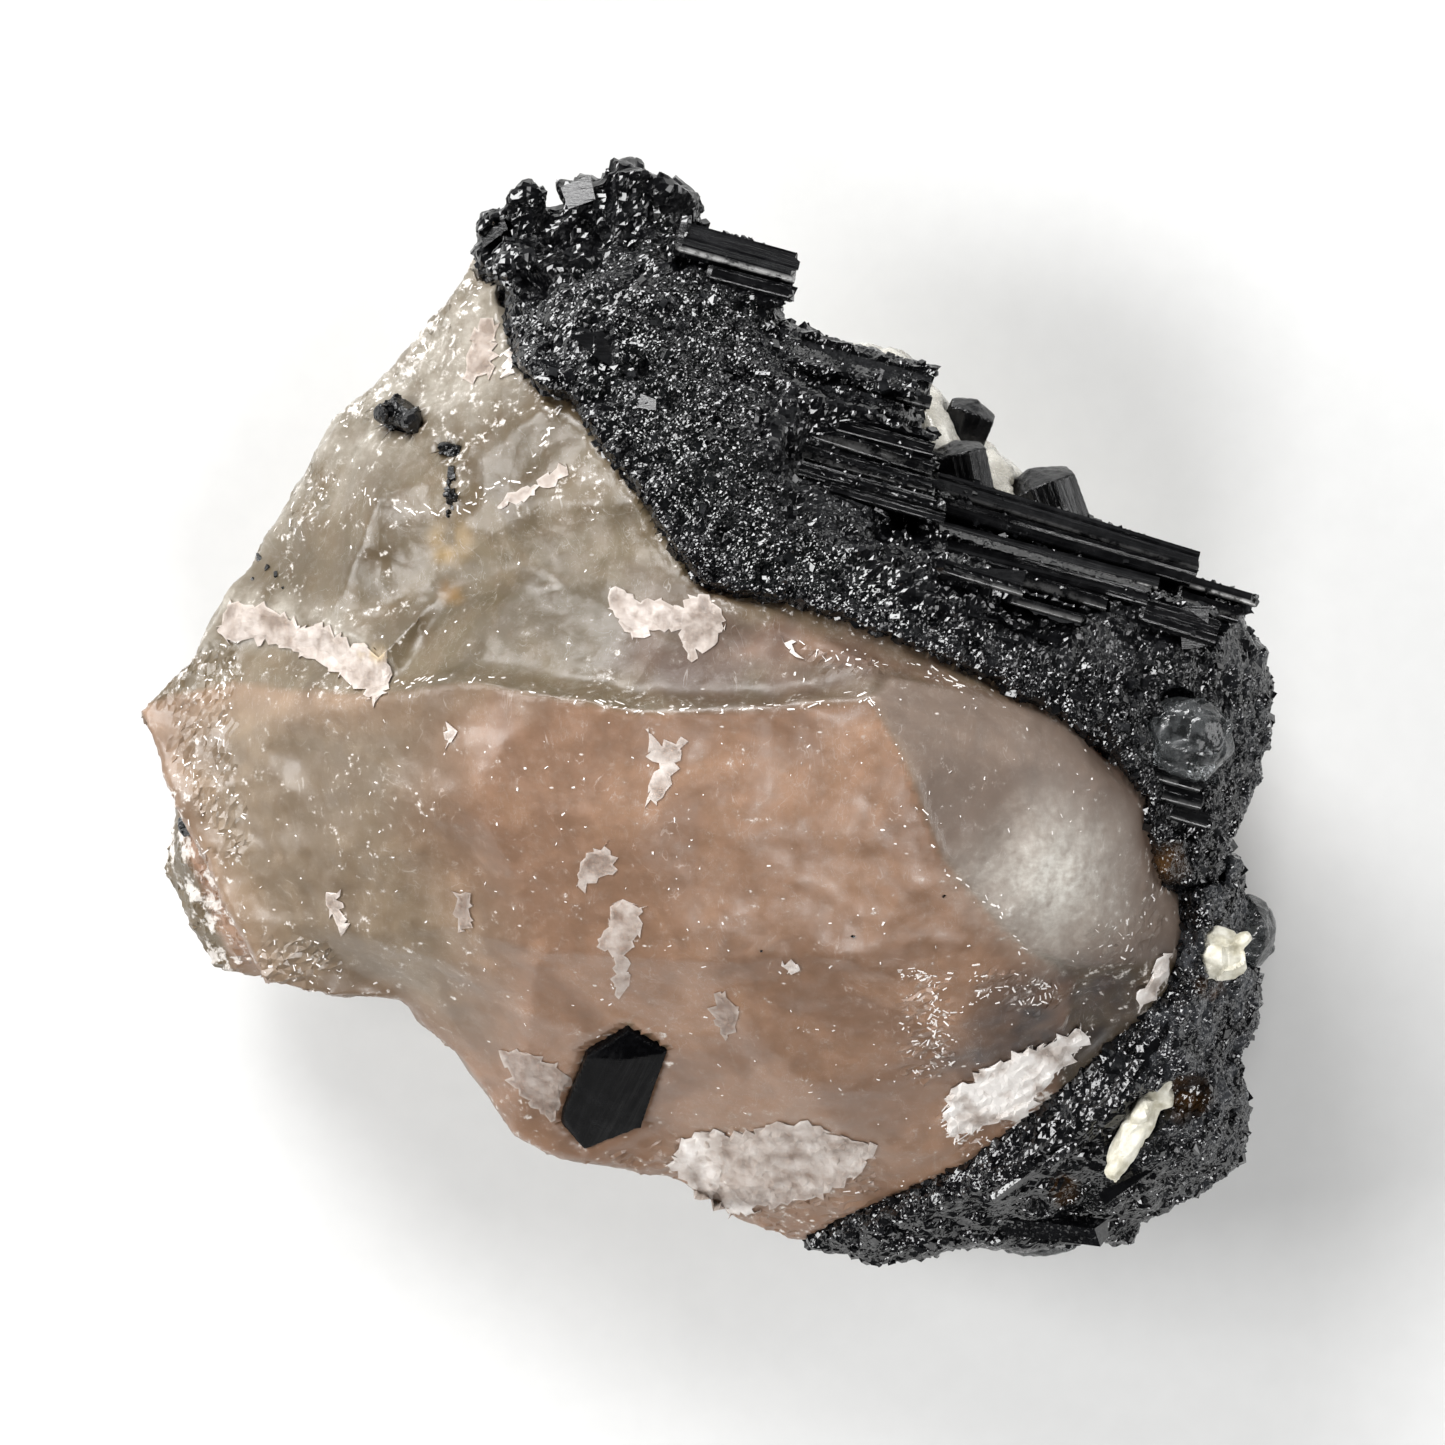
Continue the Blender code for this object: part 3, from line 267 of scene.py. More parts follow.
def node(tree, kind, settings=None, give=None, **inputs):
    """Adds a node, or takes one that is there, with its settings and links. Hands back its first output, or give's.

    An input goes by its name, or by its identifier where two share a name, with _ for a space."""
    made = tree.nodes.new("ShaderNode" + kind) if isinstance(kind, str) else kind
    for key, value in (settings or {}).items():
        setattr(made, key, value)
    for key, value in inputs.items():
        socket = next(s for s in made.inputs if s.enabled and key in (s.identifier, s.name.replace(" ", "_")))
        if isinstance(value, bpy.types.NodeSocket):
            tree.links.new(value, socket)
        else:
            socket.default_value = linear(value) if isinstance(value, str) else value
    return next((s for s in made.outputs if s.enabled and give in (None, s.name)), None)


def start(name):
    """A new material, what adds a node to it, its shader, and the place on the piece in millimetres."""
    material = bpy.data.materials.new(name)
    material.use_nodes = True
    add = partial(node, material.node_tree)
    at = add("VectorMath", SCALED, Vector=add("TexCoord", give="Object"), Scale=1 / MM)
    return material, add, material.node_tree.nodes["Principled BSDF"], at


def smoky_quartz():
    """Smoky quartz, broken: clear brown with milky wisps under a soft glassy break, and white where it is crushed."""
    material, add, shader, at = start("smoky quartz, broken")
    frost, milk, lower, ashen, grey, dark, umber, olive, iron, yellow = (
        add("Attribute", {"attribute_name": name}, give="Fac")
        for name in "frost milk lower ashen grey dark umber olive iron yellow".split())
    wisp = add("TexNoise", Vector=at, Scale=0.16, Detail=5.0, Roughness=0.62, Distortion=0.8)
    mottle = add("TexNoise", Vector=at, Scale=0.9, Detail=5.0, Roughness=0.65)
    ripple = add("TexNoise", Vector=at, Scale=2.2, Detail=5.0, Roughness=0.6)
    crumb = add("TexNoise", Vector=at, Scale=1.7, Detail=8.0, Roughness=0.72)
    shells = add("TexVoronoi", Vector=at, Scale=0.45)
    tilted = add("Mapping", Vector=at, Rotation=(0.0, 0.0, 0.9), Scale=(0.5, 1.1, 0.8))
    spot, which = (add("TexVoronoi", give=give, Vector=tilted, Scale=1.0) for give in ("Distance", "Color"))
    swept = add("Mapping", Vector=at, Rotation=(0.0, 0.0, 0.5), Scale=(0.34, 0.16, 0.3))
    flow = add("TexNoise", Vector=swept, Scale=1.0, Detail=4.0, Roughness=0.55, Distortion=1.4)
    curved = add("Mapping", Vector=at, Rotation=(0.0, 0.0, -0.4), Scale=(0.9, 0.35, 0.6))
    hair = add("TexNoise", Vector=curved, Scale=1.0, Detail=3.0, Roughness=0.5, Distortion=2.2)
    curdled, pale, fine, deep, uneven, reach, patch, fleck, chosen, cloudy, soft = (
        add("MapRange", Value=source, From_Min=low, From_Max=high, To_Min=least, To_Max=most)
        for source, low, high, least, most in (
            (crumb, 0.3, 0.65, 0.5, 1.15), (wisp, 0.45, 0.75, 0.0, 0.13), (crumb, 0.5, 0.62, 0.0, 0.12),
            (mottle, 0.35, 0.62, 0.25, 0.0), (crumb, 0.25, 0.75, -0.8, 0.8), (mottle, 0.46, 0.58, 0.0, 1.0),
            (wisp, 0.47, 0.58, 0.0, 1.0), (spot, 0.05, 0.09, 0.9, 0.0),
            (add("SeparateColor", give="Red", Color=which), 0.72, 0.76, 0.0, 1.0),
            (wisp, 0.42, 0.72, 0.0, 0.45), (mottle, 0.3, 0.7, 0.28, 0.46)))
    milk = add("Math", TIMES, Value=milk, Value_001=curdled)
    calm = add("Math", LARGER, Value=lower, Value_001=grey)
    rugged = add("MapRange", Value=calm, To_Min=1.0, To_Max=0.3)
    pale = add("Math", TIMES, Value=pale, Value_001=rugged)
    fleck = add("Math", TIMES, Value=fleck, Value_001=chosen)
    crushed = add("Math", PLUS, Value=frost, Value_001=uneven)
    white = add("MapRange", Value=crushed, From_Min=0.5, From_Max=0.72, To_Min=0.0, To_Max=0.9)
    # Cracks and hair cracks: thin lines where a noise passes its middle
    for field, middle, width, most, where in ((flow, 0.5, 0.005, 0.45, reach), (hair, 0.52, 0.006, 0.4, patch)):
        away = add("Math", SIZE_OF, Value=add("Math", MINUS, Value=field, Value_001=middle))
        line = add("MapRange", Value=away, From_Min=0.0, From_Max=width, To_Min=most, To_Max=0.0)
        line = add("Math", TIMES, Value=line, Value_001=where)
        white = add("Math", LARGER, Value=white, Value_001=line)
    white = add("Math", LARGER, Value=white, Value_001=fleck)
    colour = "#79694C"
    for share, tone in (
        (lower, "#BA9073"), (ashen, "#A09178"), (umber, "#6F5140"), (olive, "#695832"), (grey, "#A08A7A"),
        (dark, "#56504F"), (pale, "#D6C8B6"), (fine, "#E2D5C8"), (deep, "#8A7059"), (milk, "#DAD6CC"),
        (yellow, "#D8A94C"), (iron, "#A4702C"), (white, "#DDD7D0"),
    ):
        colour = add("Mix", COLOURS, Factor=share, A=colour, B=tone)
    matt = umber
    for more in (olive, grey):
        matt = add("Math", LARGER, Value=matt, Value_001=more)
    for more in (milk, white):
        cloudy = add("Math", LARGER, Value=cloudy, Value_001=more)
    shells, ripple = (add("Math", TIMES, Value=field, Value_001=rugged) for field in (shells, ripple))
    bump = add("Bump", Strength=0.6, Distance=0.00018, Height=shells)
    bump = add("Bump", Strength=0.3, Distance=0.00007, Height=ripple, Normal=bump)
    add(shader, Base_Color=colour, Normal=bump, Coat_Normal=bump, IOR=QUARTZ_IOR,
        Transmission_Weight=add("MapRange", Value=cloudy, To_Min=0.62, To_Max=0.10),
        Roughness=add("Math", {"operation": "MULTIPLY_ADD"}, Value=matt, Value_001=0.25, Value_002=soft),
        Coat_Weight=0.1, Coat_Roughness=0.12, Coat_IOR=1.5)
    add(material.node_tree.nodes["Material Output"], Volume=add("VolumeAbsorption", Color="#C39C80", Density=38.0))
    return material


def clear_quartz():
    """Clear quartz, broken: a glassy knob that shows the black beneath it through a few cloudy veils."""
    material, add, shader, at = start("clear quartz, broken")
    cloud = add("TexNoise", Vector=at, Scale=0.7, Detail=4.0, Roughness=0.6)
    share = add("MapRange", Value=cloud, From_Min=0.45, From_Max=0.65)
    add(shader, Base_Color=add("Mix", COLOURS, Factor=share, A="#7C7F80", B="#4C4E4F"), IOR=QUARTZ_IOR,
        Transmission_Weight=add("MapRange", Value=share, To_Min=0.95, To_Max=0.45),
        Roughness=add("MapRange", Value=share, To_Min=0.10, To_Max=0.35),
        Normal=add("Bump", Strength=0.5, Distance=BUMP_DEPTH, Height=cloud))
    return material


def vein_quartz():
    """White vein quartz, broken: milky through and wet-looking, clearer where it is thin."""
    material, add, shader, at = start("white vein quartz, broken")
    cloud = add("TexNoise", Vector=at, Scale=0.35, Detail=5.0, Roughness=0.6)
    grit = add("TexNoise", Vector=at, Scale=3.0, Detail=4.0)
    share = add("MapRange", Value=cloud, From_Min=0.35, From_Max=0.65)
    add(shader, Base_Color=add("Mix", COLOURS, Factor=share, A="#EFECE2", B="#CDC7B8"), IOR=QUARTZ_IOR,
        Transmission_Weight=add("MapRange", Value=share, To_Min=0.15, To_Max=0.5),
        Roughness=add("MapRange", Value=grit, From_Min=0.3, From_Max=0.7, To_Min=0.15, To_Max=0.4),
        Normal=add("Bump", Strength=0.5, Distance=BUMP_DEPTH, Height=grit), Coat_Weight=0.4, Coat_Roughness=0.08)
    return material


def crazed_quartz():
    """Thin quartz flakes, half lifted: clear in places, and crumbled white as crushed ice towards the rim."""
    material, add, shader, at = start("quartz flake, crazed")
    rim, white, yellow = (
        add("Attribute", {"attribute_name": name}, give="Fac") for name in ("rim", "white", "yellow"))
    crumb = add("TexNoise", Vector=at, Scale=1.5, Detail=8.0, Roughness=0.72)
    cloud = add("TexNoise", Vector=at, Scale=1.1, Detail=5.0, Roughness=0.65)
    uneven = add("MapRange", Value=crumb, From_Min=0.25, From_Max=0.75, To_Min=-0.28, To_Max=0.28)
    edge = add("Math", TIMES, Value=rim, Value_001=0.75)
    veil = add("Math", PLUS, Value=add("Math", LARGER, Value=edge, Value_001=white), Value_001=uneven)
    veil = add("MapRange", Value=veil, From_Min=0.1, From_Max=0.95)
    colour = add("Mix", COLOURS, Factor=veil, A="#CDB7A6", B="#F0EBE6")
    add(shader, Base_Color=add("Mix", COLOURS, Factor=yellow, A=colour, B="#F0C93E"), IOR=QUARTZ_IOR,
        Transmission_Weight=add("MapRange", Value=veil, To_Min=0.8, To_Max=0.05),
        Roughness=add("MapRange", Value=crumb, From_Min=0.3, From_Max=0.7, To_Min=0.6, To_Max=0.4),
        Normal=add("Bump", Strength=0.5, Distance=BUMP_DEPTH, Height=cloud), Coat_Weight=0.2, Coat_Roughness=0.12)
    return material


def grown_schorl(name, gloss):
    """Schorl as grown: black glass with fine ribs along each crystal, pale on bruised edges, which is also a painted
    highlight.
    """
    material, add, shader, at = start(name)
    drawn = add("Mapping", Vector=at, Scale=(0.25, 5.0, 5.0))
    ribs = add("TexNoise", Vector=drawn, Scale=1.0, Detail=4.0, Roughness=0.6)
    film = add("TexNoise", Vector=at, Scale=0.8, Detail=6.0, Roughness=0.7)
    worn = add("Attribute", {"attribute_name": "worn"}, give="Fac")
    share = add("MapRange", Value=film, From_Min=0.45, From_Max=0.75, To_Min=0.0, To_Max=0.25)
    black = add("Mix", COLOURS, Factor=share, A="#050506", B="#2A2A2C")
    # Pale top edges: partly a bruise, partly a painted highlight for the light that the chipped edge catches
    broken = add("MapRange", Value=film, From_Min=0.42, From_Max=0.55)
    broken = add("Math", TIMES, Value=broken, Value_001=worn)
    add(shader, Base_Color=add("Mix", COLOURS, Factor=broken, A=black, B="#B9B8B6"),
        Roughness=add("MapRange", Value=film, From_Min=0.3, From_Max=0.7, To_Min=0.10, To_Max=0.30),
        Normal=add("Bump", Strength=0.5, Distance=BUMP_DEPTH, Height=ribs), IOR=SCHORL_IOR, Specular_IOR_Level=gloss)
    return material


def hackly_schorl():
    """Schorl snapped across: a sugary break of tiny flats, each dark or glinting, and lighter grey in places: rock dust
    and painted sheen.
    """
    material, add, shader, at = start("schorl, broken across")
    flats = add("TexVoronoi", give="Color", Vector=at, Scale=8.0)
    film = add("TexNoise", Vector=at, Scale=0.5, Detail=6.0, Roughness=0.7)
    glitter, dust, iron = (
        add("Attribute", {"attribute_name": name}, give="Fac") for name in ("glitter", "dust", "iron"))
    # The grey mixed in is partly rock dust and partly painted sheen for the glints
    share = add("MapRange", Value=film, From_Min=0.42, From_Max=0.62)
    share = add("Math", TIMES, Value=share, Value_001=dust)
    black = add("Mix", COLOURS, Factor=share, A="#040405", B="#4C4E52")
    lean = add("VectorMath", MINUS, Vector=flats, Vector_001=(0.5, 0.5, 0.5))
    lean = add("VectorMath", SCALED, Vector=lean, Scale=glitter)
    tipped = add("VectorMath", PLUS, Vector=add("NewGeometry", give="Normal"), Vector_001=lean)
    add(shader, Base_Color=add("Mix", COLOURS, Factor=iron, A=black, B="#4A3218"),
        Roughness=add("MapRange", Value=film, From_Min=0.3, From_Max=0.7, To_Min=0.08, To_Max=0.18),
        Normal=add("VectorMath", {"operation": "NORMALIZE"}, Vector=tipped), IOR=SCHORL_IOR)
    return material


def feldspar():
    """Feldspar, cleaved: cream and satin, with flat steps that catch the light."""
    material, add, shader, at = start("feldspar, cleaved")
    cloud = add("TexNoise", Vector=at, Scale=1.0, Detail=5.0, Roughness=0.6)
    steps = add("TexVoronoi", Vector=at, Scale=1.6)
    share = add("MapRange", Value=cloud, From_Min=0.35, From_Max=0.65)
    add(shader, Base_Color=add("Mix", COLOURS, Factor=share, A="#EAE7DA", B="#B0AA94"), IOR=FELDSPAR_IOR,
        Roughness=add("MapRange", Value=cloud, From_Min=0.3, From_Max=0.7, To_Min=0.3, To_Max=0.55),
        Normal=add("Bump", Strength=0.5, Distance=BUMP_DEPTH, Height=steps))
    return material


def paper_sweep():
    """Matt pale grey paper under the stone, which the soft boxes light up to white."""
    material, add, shader, at = start("pale grey paper")
    fibre = add("TexNoise", Vector=at, Scale=0.6, Detail=3.0)
    add(shader, Base_Color=add("Mix", COLOURS, Factor=fibre, A="#D2D2D1", B="#D8D8D7"), Roughness=0.9)
    return material


def points_of(mesh):
    """The corners of a mesh in millimetres, as an array."""
    flat = np.empty(len(mesh.vertices) * 3, np.float32)
    mesh.vertices.foreach_get("co", flat)
    return flat.reshape(-1, 3).astype(float) / MM


def move_points(mesh, points):
    """Puts the corners of a mesh at new places in millimetres."""
    mesh.vertices.foreach_set("co", (points * MM).astype(np.float32).ravel())
    mesh.update()


def normals_of(mesh):
    """The direction of the surface at every corner of a mesh."""
    flat = np.empty(len(mesh.vertices) * 3, np.float32)
    mesh.vertices.foreach_get("normal", flat)
    return flat.reshape(-1, 3).astype(float)


def fine_copy(name, solid, cell):
    """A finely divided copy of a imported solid, for detail that the solid leaves out."""
    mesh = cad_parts[solid].data.copy()
    piece = bpy.data.objects.new(name, mesh)
    bpy.context.scene.collection.objects.link(piece)
    weld = piece.modifiers.new("weld", "WELD")
    weld.merge_threshold = 0.000001
    divide = piece.modifiers.new("divide", "REMESH")
    divide.mode = "VOXEL"
    divide.voxel_size = cell * MM
    made = bpy.data.meshes.new_from_object(piece.evaluated_get(bpy.context.evaluated_depsgraph_get()))
    piece.modifiers.clear()
    piece.data = made
    made.materials.clear()
    made.name = name
    return piece


def waves(points, size, seed, octaves=1):
    """Smooth noise from -1 to 1 at every point. size is the length of a wave."""
    shift = Vector((seed * 11.3, seed * 5.1, seed * 8.7))
    if octaves == 1:
        return np.array([noise.noise(Vector(p) / size + shift) for p in points])
    return np.array([noise.fractal(Vector(p) / size + shift, 0.9, 2.0, octaves) for p in points])


def patches(points, base, gain, size, seed, octaves=3):
    """Share from 0 to 1 that comes and goes in soft patches."""
    return np.clip(base + gain * waves(points, size, seed, octaves), 0, 1)


def facets(points, size, tilt, seed):
    """Height of a surface broken into flats: each is size across and tilted its own way."""
    shift = Vector((seed * 3.7, seed * 9.1, seed * 6.3))
    heights = np.empty(len(points))
    for i, p in enumerate(points):
        at = Vector(p) / size + shift
        near, centres = noise.voronoi(at)
        lean = noise.noise_vector(centres[0] * 7.31)
        heights[i] = (at - centres[0]).dot(lean) * tilt * size * min(1.0, (near[1] - near[0]) * 6.0)
    return heights


def scoops(points, size, depth, seed, stretch=(1.0, 1.0, 1.0)):
    """Height of shell-like breaks: hollows about size across and depth deep, which meet in sharp ridges."""
    shift = Vector((seed * 5.3, seed * 2.9, seed * 7.7))
    scaled = points / (np.array(stretch) * size)
    nearest = np.array([noise.voronoi(Vector(p) + shift)[0][0] for p in scaled])
    return depth * (np.minimum(nearest, 1.0) ** 2 - 0.35)


def ridges(points, size, seed, stretch=(1.0, 1.0, 1.0)):
    """Share from 0 to 1 by which each point lies on a ridge between the hollows that scoops makes."""
    shift = Vector((seed * 5.3, seed * 2.9, seed * 7.7))
    scaled = points / (np.array(stretch) * size)
    near = np.array([noise.voronoi(Vector(p) + shift)[0][:2] for p in scaled])
    return np.clip(1 - (near[:, 1] - near[:, 0]) / 0.22, 0, 1)


def sides(outline):
    """Each side of a closed outline, as its two corners."""
    return zip(outline, outline[1:] + outline[:1])


def inside(points, outline, soft=0.5):
    """Share from 0 to 1 by which each point lies inside an outline, turning over a soft border."""
    x, y = points[:, 0], points[:, 1]
    nearest = np.full(len(points), 1e9)
    within = np.zeros(len(points), bool)
    for (ax, ay), (bx, by) in sides(outline):
        dx, dy = bx - ax, by - ay
        t = np.clip(((x - ax) * dx + (y - ay) * dy) / (dx * dx + dy * dy), 0, 1)
        nearest = np.minimum(nearest, np.hypot(x - ax - t * dx, y - ay - t * dy))
        crosses = (ay > y) != (by > y)
        within ^= crosses & (x < ax + (y - ay) / (dy or 1e-9) * dx)
    signed = np.where(within, nearest, -nearest)
    return np.clip(signed / (2 * soft) + 0.5, 0, 1)


def stained(points, stains):
    """How far each point is stained."""
    share = np.zeros(len(points))
    for x, y, reach in stains:
        share = np.maximum(share, 1 - np.hypot(points[:, 0] - x, points[:, 1] - y) / reach)
    return np.clip(share * 1.6, 0, 1) * patches(points, 0.6, 1.0, 1.1, 21, 2)


def smooth_faces(mesh, rough_points):
    """Shades each face smooth, but leaves it flat where its corners are marked rough."""
    corners = np.empty(len(mesh.loops), np.int32)
    mesh.loops.foreach_get("vertex_index", corners)
    first = np.empty(len(mesh.polygons), np.int32)
    mesh.polygons.foreach_get("loop_start", first)
    mesh.polygons.foreach_set("use_smooth", ~rough_points[corners[first]])


def finish(piece, material, slot, solid=None, smooth=False, **shares):
    """Gives a piece its material, and the shares at its points that the material reads; slot, its place in the row, is
    not used.
    """
    mesh = piece.data
    mesh.materials.clear()
    mesh.materials.append(material)
    for name, share in shares.items():
        layer = mesh.attributes.new(name, "FLOAT", "POINT")
        share = np.clip(np.broadcast_to(share, len(mesh.vertices)), 0, 1)
        layer.data.foreach_set("value", share.astype(np.float32))
    if smooth is not None:
        mesh.polygons.foreach_set("use_smooth", np.full(len(mesh.polygons), smooth))
    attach(piece, ROOT)
    if solid:
        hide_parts(solid)
    return piece


def new_piece(name, points, faces):
    """A mesh from points in millimetres."""
    mesh = bpy.data.meshes.new(name)
    mesh.from_pydata((np.asarray(points, float) * MM).tolist(), [], [list(f) for f in faces])
    mesh.update()
    piece = bpy.data.objects.new(name, mesh)
    bpy.context.scene.collection.objects.link(piece)
    return piece


def joined(parts):
    """Several meshes, each a pair of points and faces, as one such pair."""
    points, faces = [], []
    for part_points, part_faces in parts:
        faces += [tuple(len(points) + i for i in f) for f in part_faces]
        points += [tuple(p) for p in part_points]
    return points, faces


def make_quartz(material, rng):
    """The body: shell-like breaks with crushed edges, and its tones painted on for the material."""
    piece = fine_copy("smoky_quartz_body", "smoky_quartz", QUARTZ_CELL)
    mesh = piece.data
    points, out = points_of(mesh), normals_of(mesh)
    high = np.clip((points[:, 2] - 14) / 4, 0, 1) * np.clip((out[:, 2] - 0.1) * 3, 0, 1)
    low_rim = np.clip((points[:, 2] - 7) / 4, 0, 1) * np.clip((out[:, 2] + 0.2) * 3, 0, 1)
    lower = inside(points, LOWER_FACE, 0.25) * high
    flake = inside(points, RIGHT_FLAKE, 0.25) * high
    calm = np.maximum(lower * (1 - 0.5 * inside(points, LEFT_OF_FACE, 2.0)), flake)
    rough = 1.0 - 0.85 * calm
    pale = inside(points, UPPER_PALE, 1.0)
    height = scoops(points, 6.5, 0.75, 1, LARGE_SHELLS) * (0.3 + 0.7 * rough) * (1 - 0.8 * flake)
    glass = np.maximum(inside(points, OLIVE, 1.0), inside(points, UMBER, 1.0))
    height += (scoops(points, 2.6, 0.30, 2, SMALL_SHELLS) * rough * (1 - 0.6 * glass)
               + scoops(points, 1.2, 0.12, 3) * rough * (0.4 + 0.6 * pale))
    height += 0.12 * scoops(points, 3.4, 1.0, 21, (0.6, 1.4, 1.0)) * flake
    height += 0.10 * waves(points, 2.4, 4, 3) + 0.015 * waves(points, 0.5, 5, 2)
    height += 0.25 * inside(points, RIGHT_FLAKE, 0.15) * (points[:, 2] > 20)
    patchy = patches(points, 0.6, 1.1, 1.2, 9)
    crushed = np.maximum.reduce([inside(points, outline, 0.5) for outline, _, _ in SHATTERED]) * patchy
    white = np.maximum.reduce([inside(points, outline, 0.5) * share for outline, share, _ in SHATTERED]) * patchy
    side = np.clip(1.2 - np.abs(out[:, 2]) * 2.2, 0, 1) * patches(points, 0.45, 0.9, 3.0, 12)
    crushed, white = np.maximum(crushed, side * 0.8), np.maximum(white, side * 0.5)
    spots, far = nearest_on(points, ["schorl_columns", "schorl_flank", *CRYSTALS, *CLUMPS], 1.2)
    seam = np.clip(1.4 - far / 0.85, 0, 1)
    height = height * (1 - 0.7 * seam) + 0.1 * seam
    rested = points[:, 2] < RESTED
    height[rested] = 0.0
    jolt = rng.normal(size=points.shape) * (SHATTER * (crushed > CRUSHED) * (seam < 0.3) * ~rested)[:, None]
    moved = points + out * height[:, None] + jolt
    touching = (far < 0.5) & ~rested
    moved[touching] = spots[touching] + 0.1 * (spots - points)[touching] / np.maximum(far[touching], 0.05)[:, None]
    moved[:, 2] = np.maximum(moved[:, 2], 0.0)
    move_points(mesh, moved)
    lip = (far < 0.9) * high * patches(points, 0.25, 0.8, 1.6, 17, 2)
    broken = ridges(points, 2.6, 2, SMALL_SHELLS) * rough * patches(points, 0.35, 1.2, 3.5, 18, 2)
    broken = np.maximum(broken, ridges(points, 6.5, 1, LARGE_SHELLS) * (0.3 + 0.5 * rough))
    broken *= 1 - 0.75 * glass
    crumbled = white * patches(points, 0.7, 0.6, 0.9, 6, 2)
    tan = np.maximum(inside(points, LOWER_FACE, 0.25), inside(points, BEVEL_BAND, 0.4) * 0.9)
    soft_pale = inside(points, UPPER_PALE, 1.5) * 0.5 + inside(points, LEFT_PALE, 0.6) * 0.5
    milk = np.maximum.reduce([
        inside(points, CLOUD_IN_FLAKE, 2.4), soft_pale * patches(points, 0.75, 1.0, 2.2, 11),
        inside(points, FLAKES["bottom_flake"][0], 1.5) * 0.3])
    smooth_faces(mesh, crushed > CRUSHED)
    return finish(
        piece, material, "smoky_quartz", "smoky_quartz", smooth=None,
        frost=np.maximum.reduce([crumbled, 0.6 * lip, 0.52 * broken]),
        umber=inside(points, UMBER, 1.2) * 0.85 * patches(points, 0.8, 0.6, 2.6, 15),
        olive=inside(points, OLIVE, 1.6) * 0.7 * patches(points, 0.8, 0.6, 2.6, 16),
        lower=tan * low_rim,
        ashen=inside(points, LEFT_OF_FACE, 3.0) * lower * 0.8,
        grey=inside(points, RIGHT_FLAKE, 0.25) * low_rim,
        dark=inside(points, DARK_RIGHT, 1.2) * low_rim * patches(points, 0.8, 0.5, 2.0, 13),
        milk=milk,
        iron=stained(points, IRON_STAINS) * 0.5,
        yellow=stained(points, YELLOW_STAINS) * 0.4,
    )


def nearest_on(points, solids, reach):
    """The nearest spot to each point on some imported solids, and how far off it is, up to reach."""
    spots, far = points.copy(), np.full(len(points), float(reach))
    for name in solids:
        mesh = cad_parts[name].data
        corners = points_of(mesh)
        tree = BVHTree.FromPolygons(corners, [tuple(p.vertices) for p in mesh.polygons])
        low, high = corners.min(axis=0) - reach, corners.max(axis=0) + reach
        for i in np.nonzero(np.all((points > low) & (points < high), axis=1))[0]:
            spot, _, _, distance = tree.find_nearest(Vector(points[i]), far[i])
            if spot is not None:
                spots[i], far[i] = spot, distance
    return spots, far


def near_to(points, solids, reach):
    """Share from 1 to 0 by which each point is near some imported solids, down to nothing at a distance of reach."""
    return 1 - nearest_on(points, solids, reach)[1] / reach


def in_columns(points):
    """Points as places along, across and up the columns."""
    side = Vector((0, 0, 1)).cross(COLUMN_AXIS).normalized()
    axes = (COLUMN_AXIS, side, COLUMN_AXIS.cross(side))
    return np.stack([points @ np.array(v) for v in axes], axis=1)


def on_a_bar(points):
    """Whether each point lies where a smooth column shows."""
    found = np.zeros(len(points), bool)
    local = in_columns(points)
    for x, y, z, length, width, depth, _, _ in BARS:
        end = in_columns(np.array([[x, y, z - depth / 2]]))[0]
        down, beside, above = (local - end).T
        found |= ((down > -length * 0.92) & (down < 0.1)
                  & (np.abs(beside) < width / 2 + 0.15) & (np.abs(above) < depth / 2 + 0.6))
    return found


def make_mass(name, solid, material, rng, seed, dust_and_sheen_at):
    """One schorl mass: a sugary break, faintly ribbed along the columns. The last argument gives its lighter grey at
    each point.
    """
    piece = fine_copy(name, solid, SCHORL_CELL)
    mesh = piece.data
    points, out = points_of(mesh), normals_of(mesh)
    bare = on_a_bar(points)
    crest = inside(points, CREST, 0.8)
    ribs = waves(in_columns(points) * np.array([0.12, 1.0, 1.0]), 0.9, seed)
    hollow = patches(points, -0.35, 2.4, 1.7, seed + 6)
    height = 0.16 + 0.16 * ribs + facets(points, 1.5, 0.5, seed + 1) + 0.16 * waves(points, 1.0, seed + 2, 3)
    height += (facets(points, 2.2, 1.1, seed + 3) - 0.3) * crest - 0.45 * hollow * (1 - crest)
    seam = np.clip(near_to(points, ["smoky_quartz"], 1.2) * 1.6, 0, 1)
    height = np.where(bare, -0.25, height * (1 - 0.6 * seam) + 0.15 * seam)
    glitter = sparkle_of(points) * (1 - 0.8 * hollow) * (1 - 0.85 * crest)
    jolt = rng.normal(size=points.shape) * (JOLT * (0.15 + 0.85 * glitter) * ~bare)[:, None]
    move_points(mesh, points + out * height[:, None] + jolt)
    return finish(
        piece, material, "schorl", solid, iron=stained(points, IRON_STAINS), dust=dust_and_sheen_at(points), glitter=glitter)


def sparkle_of(points):
    """How much the broken schorl glitters at each point: strongly in the middle of the columns, else in patches."""
    bright = inside(points, GLITTERING, 1.0)
    outer = np.clip((points[:, 0] + 0.35 * points[:, 1] - 15.0) / 8.0, 0, 0.45) * (points[:, 1] < 2)
    patches = np.clip(0.15 + 1.3 * waves(points, 3.0, 61, 3), 0.02, 0.7)
    shade = np.maximum.reduce([inside(points, outline, 0.8) for outline in BLACK_HOLLOWS])
    return np.clip(np.maximum(bright, outer) + (1 - bright) * (0.28 + 0.4 * patches), 0, 1) * (1 - 0.75 * shade)


